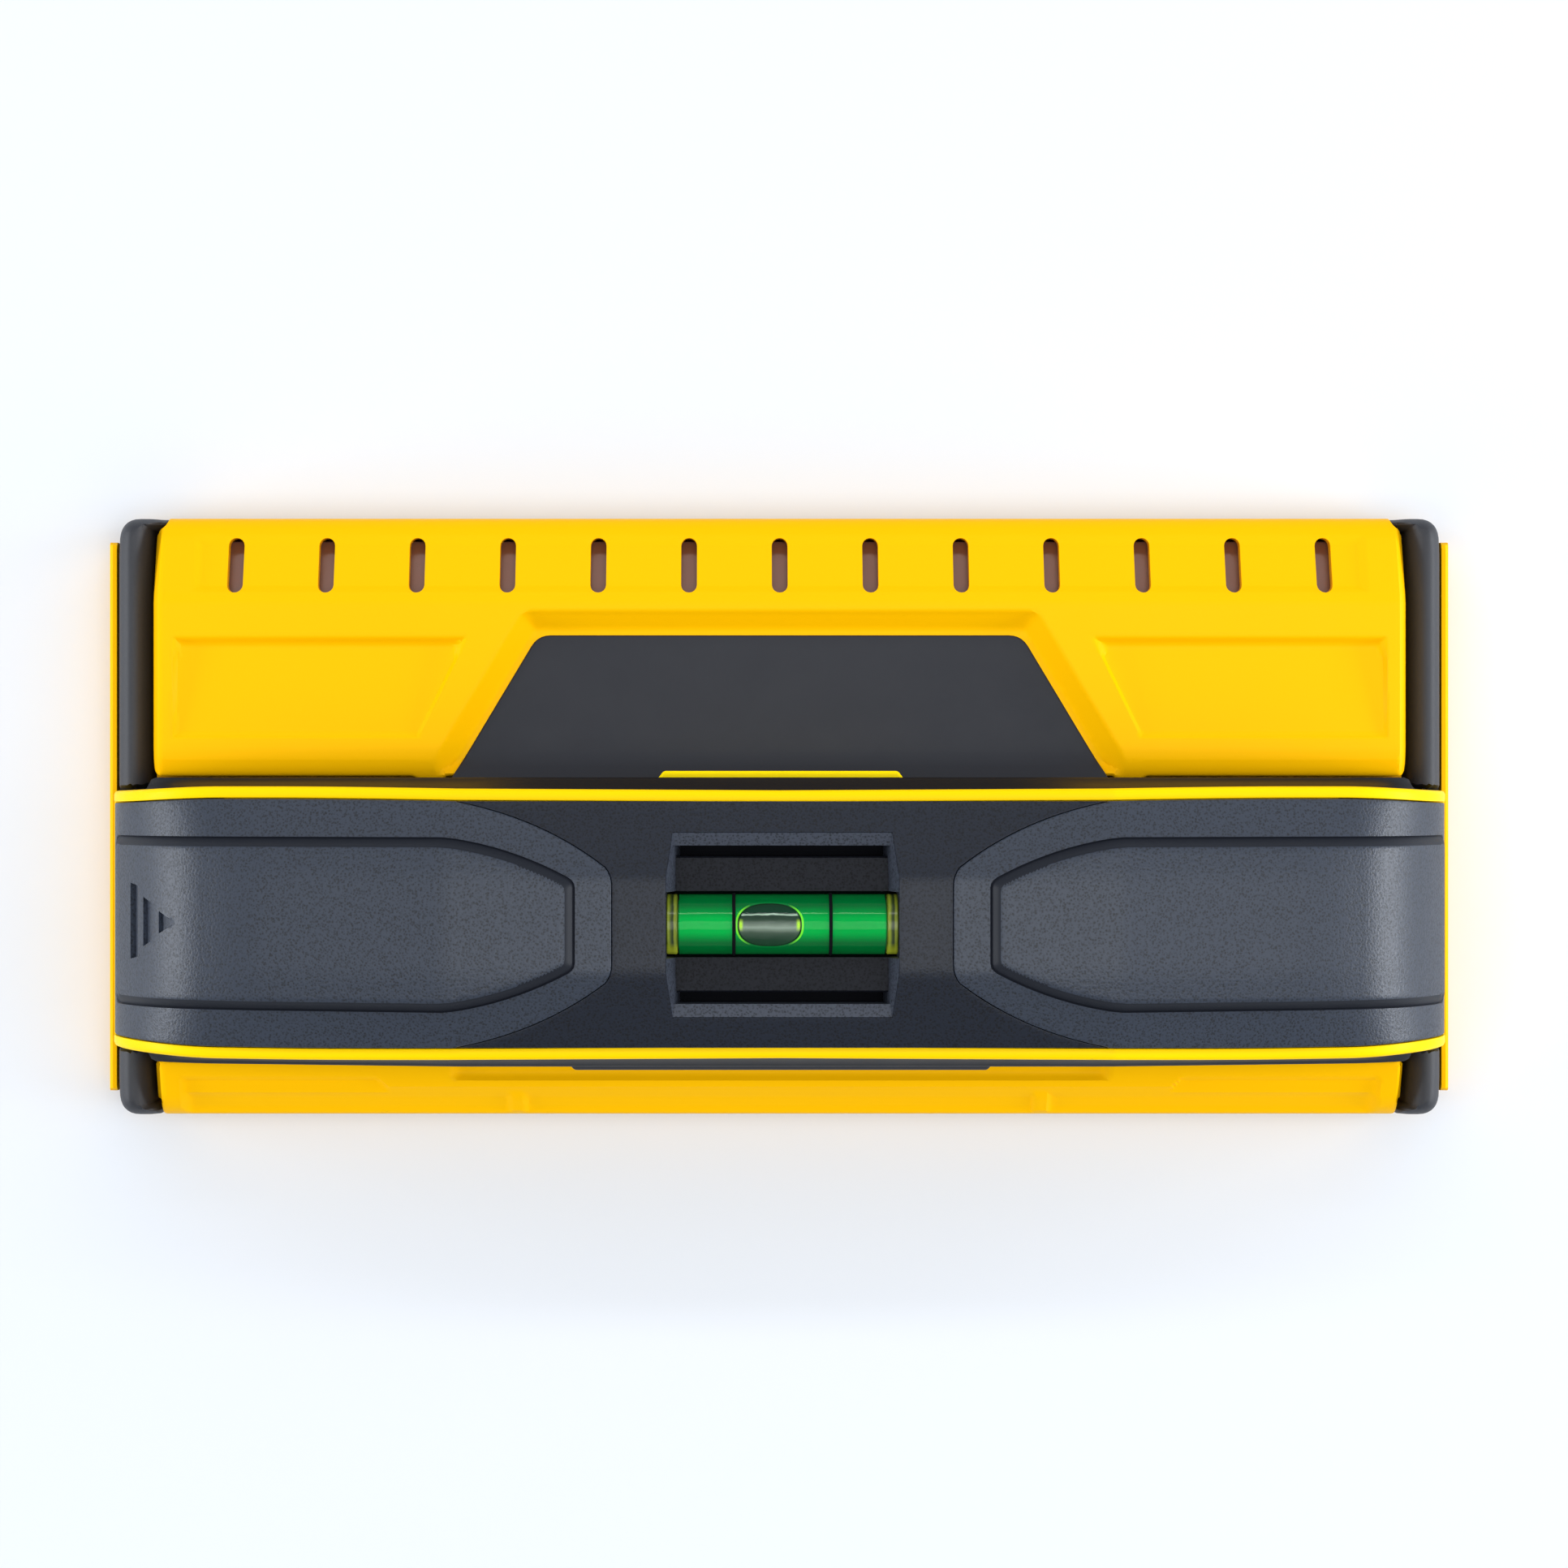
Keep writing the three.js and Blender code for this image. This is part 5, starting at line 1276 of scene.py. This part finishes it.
def window_well():
    """The drafted walls of the window: a textured bevel, painted lighter than the cover as painted light,
    then side walls that lean in to the bed.
    """
    under = BED_FLOOR + 0.1
    deep, foot, top, rim, outer = [], [], [], [], []
    for x, y in window_outline():
        corner = abs(y) > FLAT_HALF + 1
        notch = abs(y) < NOTCH_HALF + 0.05
        foot_x = x if notch else x * (0.985 if corner else 0.945)
        foot_y = y * (WELL_HALF / WINDOW_HALF if corner else 1.0)
        lip = float(crown_rise(x, y)) - COVER_STEP
        deep.append((x if notch else math.copysign(WALL_FOOT, x), foot_y + HANDLE_Y, under))
        foot.append((foot_x, foot_y + HANDLE_Y, WELL_Z))
        top.append(arch_place(x, y, lip - 0.1))
        rim.append(arch_place(x * 1.12, y * 1.1, lip - 1.5))
        outer.append((x * 1.16, y * 1.13 + HANDLE_Y, under))
    frame_solid = loft([deep, foot, top, rim, outer], hollow=True)
    # its lighter grey is painted light
    piece("window_frame", frame_solid, BEVEL_GREY_PAINTED_LIGHT, "centre_cover", hides=False)


# ---------------------------------------------------------------- spirit level

VIAL_RADIUS = (VIAL_HIGH[2] - VIAL_LOW[2]) / 2
VIAL_BORE = 3.15
VIAL_CENTRE = (0.0, HANDLE_Y, (VIAL_LOW[2] + VIAL_HIGH[2]) / 2)
VIAL_SEGMENTS = 64
CAP_CHAMFER = 0.12
BUBBLE_HALF_LONG, BUBBLE_HALF_WIDE, BUBBLE_BLUNT = 4.3, 2.72, 2.5
BUBBLE_POINTS = 72


def vial():
    half = VIAL_HIGH[0]
    tube = [(-half, VIAL_BORE), (-half, VIAL_RADIUS), (half, VIAL_RADIUS), (half, VIAL_BORE)]
    piece("vial_glass", lathe_x(tube, VIAL_CENTRE, VIAL_SEGMENTS, hollow=True), ACRYLIC, "vial_tube")
    fill = VIAL_BORE + 0.02
    liquid = [(-half, fill - 0.3), (-half + 0.1, fill), (half - 0.1, fill), (half, fill - 0.3)]
    piece("vial_fluid", lathe_x(liquid, VIAL_CENTRE, VIAL_SEGMENTS), LIQUID, "vial_liquid")
    for name in ("left", "right"):
        low, high = (corner[0] for corner in box(f"vial_cap_{name}"))
        cap = [
            (low, VIAL_RADIUS - CAP_CHAMFER), (low + CAP_CHAMFER, VIAL_RADIUS),
            (high - CAP_CHAMFER, VIAL_RADIUS), (high, VIAL_RADIUS - CAP_CHAMFER),
        ]
        piece(f"vial_plug_{name}", lathe_x(cap, VIAL_CENTRE, VIAL_SEGMENTS), CAP, f"vial_cap_{name}")


def bubble():
    """A lens of air that lies against the top of the bore, blunt at its ends."""
    low, high = box("vial_bubble")
    middle = (low[0] + high[0]) / 2
    outline = []
    for k in range(BUBBLE_POINTS):
        turn = 2 * math.pi * k / BUBBLE_POINTS
        c, s = (math.copysign(abs(v) ** (2 / BUBBLE_BLUNT), v) for v in (math.cos(turn), math.sin(turn)))
        outline.append((middle + BUBBLE_HALF_LONG * c, BUBBLE_HALF_WIDE * s))

    def arched(radius):
        return lambda x, y: np.stack([x, y + HANDLE_Y, VIAL_CENTRE[2] + np.sqrt(radius**2 - y**2)], -1)

    solid = slab(sheet_grid(outline, [], [], 0.35), arched(VIAL_BORE + 0.07), arched(VIAL_BORE - 0.2))
    piece("bubble_air", solid, AIR, "vial_bubble", sharp=ROUND_SHARP_ANGLE)


def cradle():
    low, high = box("vial_cradle")
    half, wide = BED_HALF
    top = high[2]
    edge, base, chamfer = top - 0.05, BED_FLOOR - 0.5, 0.2
    radius = VIAL_RADIUS + 0.4
    side = [(-wide, base), (-wide, top - chamfer), (-wide + chamfer, top), (-radius, edge)]
    channel = arc(0, edge, radius, 180, 360, 24)[1:-1]
    section = side + channel + mirror(side)
    rings = [[(x, y + HANDLE_Y, z) for y, z in section] for x in (-half, half)]
    piece("vial_bed", loft(rings), BED, "vial_cradle")
    foot = block(low, (high[0], high[1], BED_FLOOR))
    bevel(piece("vial_bed_foot", foot, DEEP, "vial_cradle", hides=False), 0.2, 2)


# ---------------------------------------------------------------- button and pad


def button():
    face, back = BUTTON_HIGH[1] - HANDLE_Y, BUTTON_LOW[1] - HANDLE_Y
    low, high = BUTTON_LOW[2] + BUTTON_RIM, BUTTON_HIGH[2] - BUTTON_RIM
    half = BUTTON_HIGH[0] - BUTTON_RIM
    wide = 15.2
    shoulder = face - 1.6
    plan = [(-half, back), (half, back), (half, shoulder), (wide, face), (-wide, face), (-half, shoulder)]
    rings = [[(x, y + HANDLE_Y, z) for x, y in plan] for z in (low, high)]
    # the key's brighter yellow is painted light
    bevel(piece("power_key", loft(rings), KEY_YELLOW_PAINTED_BRIGHT, "power_button"), 0.35, 3)
    outer = BUTTON_HIGH[0]
    flange = block((-outer, BUTTON_LOW[1], BUTTON_LOW[2]), (outer, BUTTON_LOW[1] + 1.3, BUTTON_HIGH[2]))
    bevel(piece("power_key_flange", flange, YELLOW, "power_button", hides=False), 0.2, 2)


def side_pad():
    half, slant = PAD_HIGH[0], 1.2
    back, face = PAD_HIGH[1], PAD_LOW[1]
    plan = [(-half, back), (-half + slant, face), (half - slant, face), (half, back)]
    rings = [[(x, y, z) for x, y in plan] for z in (PAD_LOW[2], PAD_HIGH[2])]
    bevel(piece("pad_rubber", loft(rings), RUBBER, "side_pad"), 0.4, 3)


# ---------------------------------------------------------------- back, screws and inside

SCREWS = [f"housing_screw_{i + 1}" for i in range(6)]
SCREW_WELL = 3.1
TRAY_REACH = BUMPER_HIGH[0] - 0.4
TRAY_THICK, TRAY_ROUND, TRAY_CORNER = 2.0, 0.5, 2.8
TRAY_WALL_X = 80.6
PLATE_HALF = 36.7
PLATE_THICK = 1.4
TONGUE_X = HALF_LENGTH - 0.08
# the screw's outline from the outside in: [depth, radius]
SCREW_HEAD = [(0.0, 1.9), (0.25, 2.5), (0.6, 2.7), (1.1, 2.7), (1.2, 1.3)]
SCREW_TIP_RADIUS = 1.1
RECESS_LONG, RECESS_WIDE, RECESS_DEEP = 1.5, 0.32, 0.8


def middle_of(node):
    low, high = box(node)
    return (low + high) / 2


def back_tray():
    right = [(TRAY_REACH, -EDGE_Y, TRAY_CORNER), (TRAY_REACH, -PLATE_HALF, 0), (TONGUE_X, -PLATE_HALF, 0.5)]
    right += [(x, -y, radius) for x, y, radius in reversed(right)]
    outline = rounded(right + [(-x, y, radius) for x, y, radius in reversed(right)])
    holes = []
    for node in SCREWS:
        cx, cy, _ = middle_of(node)
        holes.append(arc(cx, cy, SCREW_WELL, 0, 360, 24)[:-1])
    lines = round_lines(outline, TRAY_ROUND) + [offset(hole, -0.25) for hole in holes]

    def under(x, y):
        z = edge_round(signed_distance(outline, x, y), TRAY_ROUND)
        for hole in holes:
            z = z + edge_round(-signed_distance(hole, x, y), 0.25)
        return z

    parts = [slab(sheet_grid(outline, holes, lines, 3.0), level(TRAY_THICK), level(under))]
    for low, high in ((-EDGE_Y, -EDGE_Y + WALL), (EDGE_Y - WALL, EDGE_Y)):
        parts.append(block((-TRAY_WALL_X, low, TRAY_THICK - 0.1), (TRAY_WALL_X, high, SPLIT - GAP)))
    piece("back_tray", joined(parts), YELLOW, "back_cover")


def end_plate(side):
    """The thin plate outside a bumper, rounded along its free edges."""
    top = COVER_HIGH[2]
    # the section: [depth from the outer face, height]
    face = [(PLATE_THICK, 0.3), (0.3, 0.3), (0, 0.7), (0, 6.6)]
    face += [(0.15, 8.8), (0.4, top - 0.5), (0.85, top), (PLATE_THICK, top)]
    rings = []
    for inset, low in ((0.0, 0.9), (0.35, 0.25), (0.9, 0.0)):
        y = inset - PLATE_HALF
        rings.append([(side * (HALF_LENGTH - depth), y, min(z, top - low)) for depth, z in face])
    rings += [[(x, -y, z) for x, y, z in ring] for ring in reversed(rings)]
    piece(f"end_plate_{'right' if side > 0 else 'left'}", loft(rings), YELLOW, "back_cover", hides=False)


def screws():
    for i, node in enumerate(SCREWS):
        cx, cy, _ = middle_of(node)
        foot, tip = (corner[2] for corner in box(node))
        profile = [(foot + deep, radius) for deep, radius in SCREW_HEAD] + [(tip, SCREW_TIP_RADIUS)]
        rings = [[(x, y, z) for x, y in arc(cx, cy, radius, 0, 360, 28)[:-1]] for z, radius in profile]
        obj = piece(f"screw_{i + 1}", loft(rings), STEEL, node)
        for x, y in ((RECESS_LONG, RECESS_WIDE), (RECESS_WIDE, RECESS_LONG)):
            carve(obj, (cx - x, cy - y, foot - 1), (cx + x, cy + y, foot + RECESS_DEEP))


def cell_parts(half, radius):
    """A cell's sleeve, copper-toned band and plus end, each with its [x, radius] points and material."""
    body = [
        (-half, radius - 1.5), (-half, radius - 0.9), (-half + 0.1, radius - 0.35), (-half + 0.5, radius),
        (half - 13.3, radius),
    ]
    band = [
        (half - 13.28, radius - 0.02), (half - 13.2, radius), (half - 2.1, radius),
        (half - 1.5, radius - 0.4), (half - 1.35, radius - 1.0),
    ]
    nub = [(half - 1.5, radius - 1.0), (half - 1.4, 3.2), (half - 1.2, 2.75), (half - 0.2, 2.7), (half, 2.4)]
    return ("body", body, SLEEVE), ("band", band, COPPER), ("nub", nub, STEEL)


def batteries():
    for node, side in (("battery_1", 1), ("battery_2", -1)):
        low, high = box(node)
        half, _, radius = (high - low) / 2
        for tag, profile, material in cell_parts(half, radius):
            solid = lathe_x([(side * x, r) for x, r in profile], middle_of(node), 56)
            piece(f"cell_{node[-1]}_{tag}", solid, material, node, hides=tag == "body")


def cad_finishes():
    """Materials and softened edges for the CAD pieces that stay."""
    finishes = {
        LENS: ["lens_bar"],
        BOARD: ["main_board", "indicator_board", "switch_board"],
        CHIP: ["processor_chip", "amplifier_chip", "lead_minus"],
        WHITE: ["battery_socket"],
        BLACK: ["battery_tray"],
        STEEL: ["bridge_contact", "spring_contact", "plus_contact", "push_switch"],
        RED_WIRE: ["lead_plus"],
        DEEP: ["vial_mark_left", "vial_mark_right"],
        LED: [f"led_{i + 1:02d}" for i in range(SLOT_COUNT)],
    }
    for material, nodes in finishes.items():
        for node in nodes:
            obj = frame["nodes"][node]
            if not obj.material_slots:
                obj.data.materials.append(None)
            for slot in obj.material_slots:
                slot.link = "OBJECT"
                slot.material = material
            weld = obj.modifiers.new("Weld", "WELD")
            weld.merge_threshold = 1e-6
            bevel(obj, 0.12, 2, angle=40)


# ---------------------------------------------------------------- build

camera()
lights()
floor()
front_housing()
label_plate()
bumper(1)
bumper(-1)
handle_base()
trim_frame()
grip(-1)
grip(1)
centre_cover()
window_well()
vial()
bubble()
cradle()
button()
side_pad()
back_tray()
end_plate(-1)
end_plate(1)
screws()
batteries()
cad_finishes()
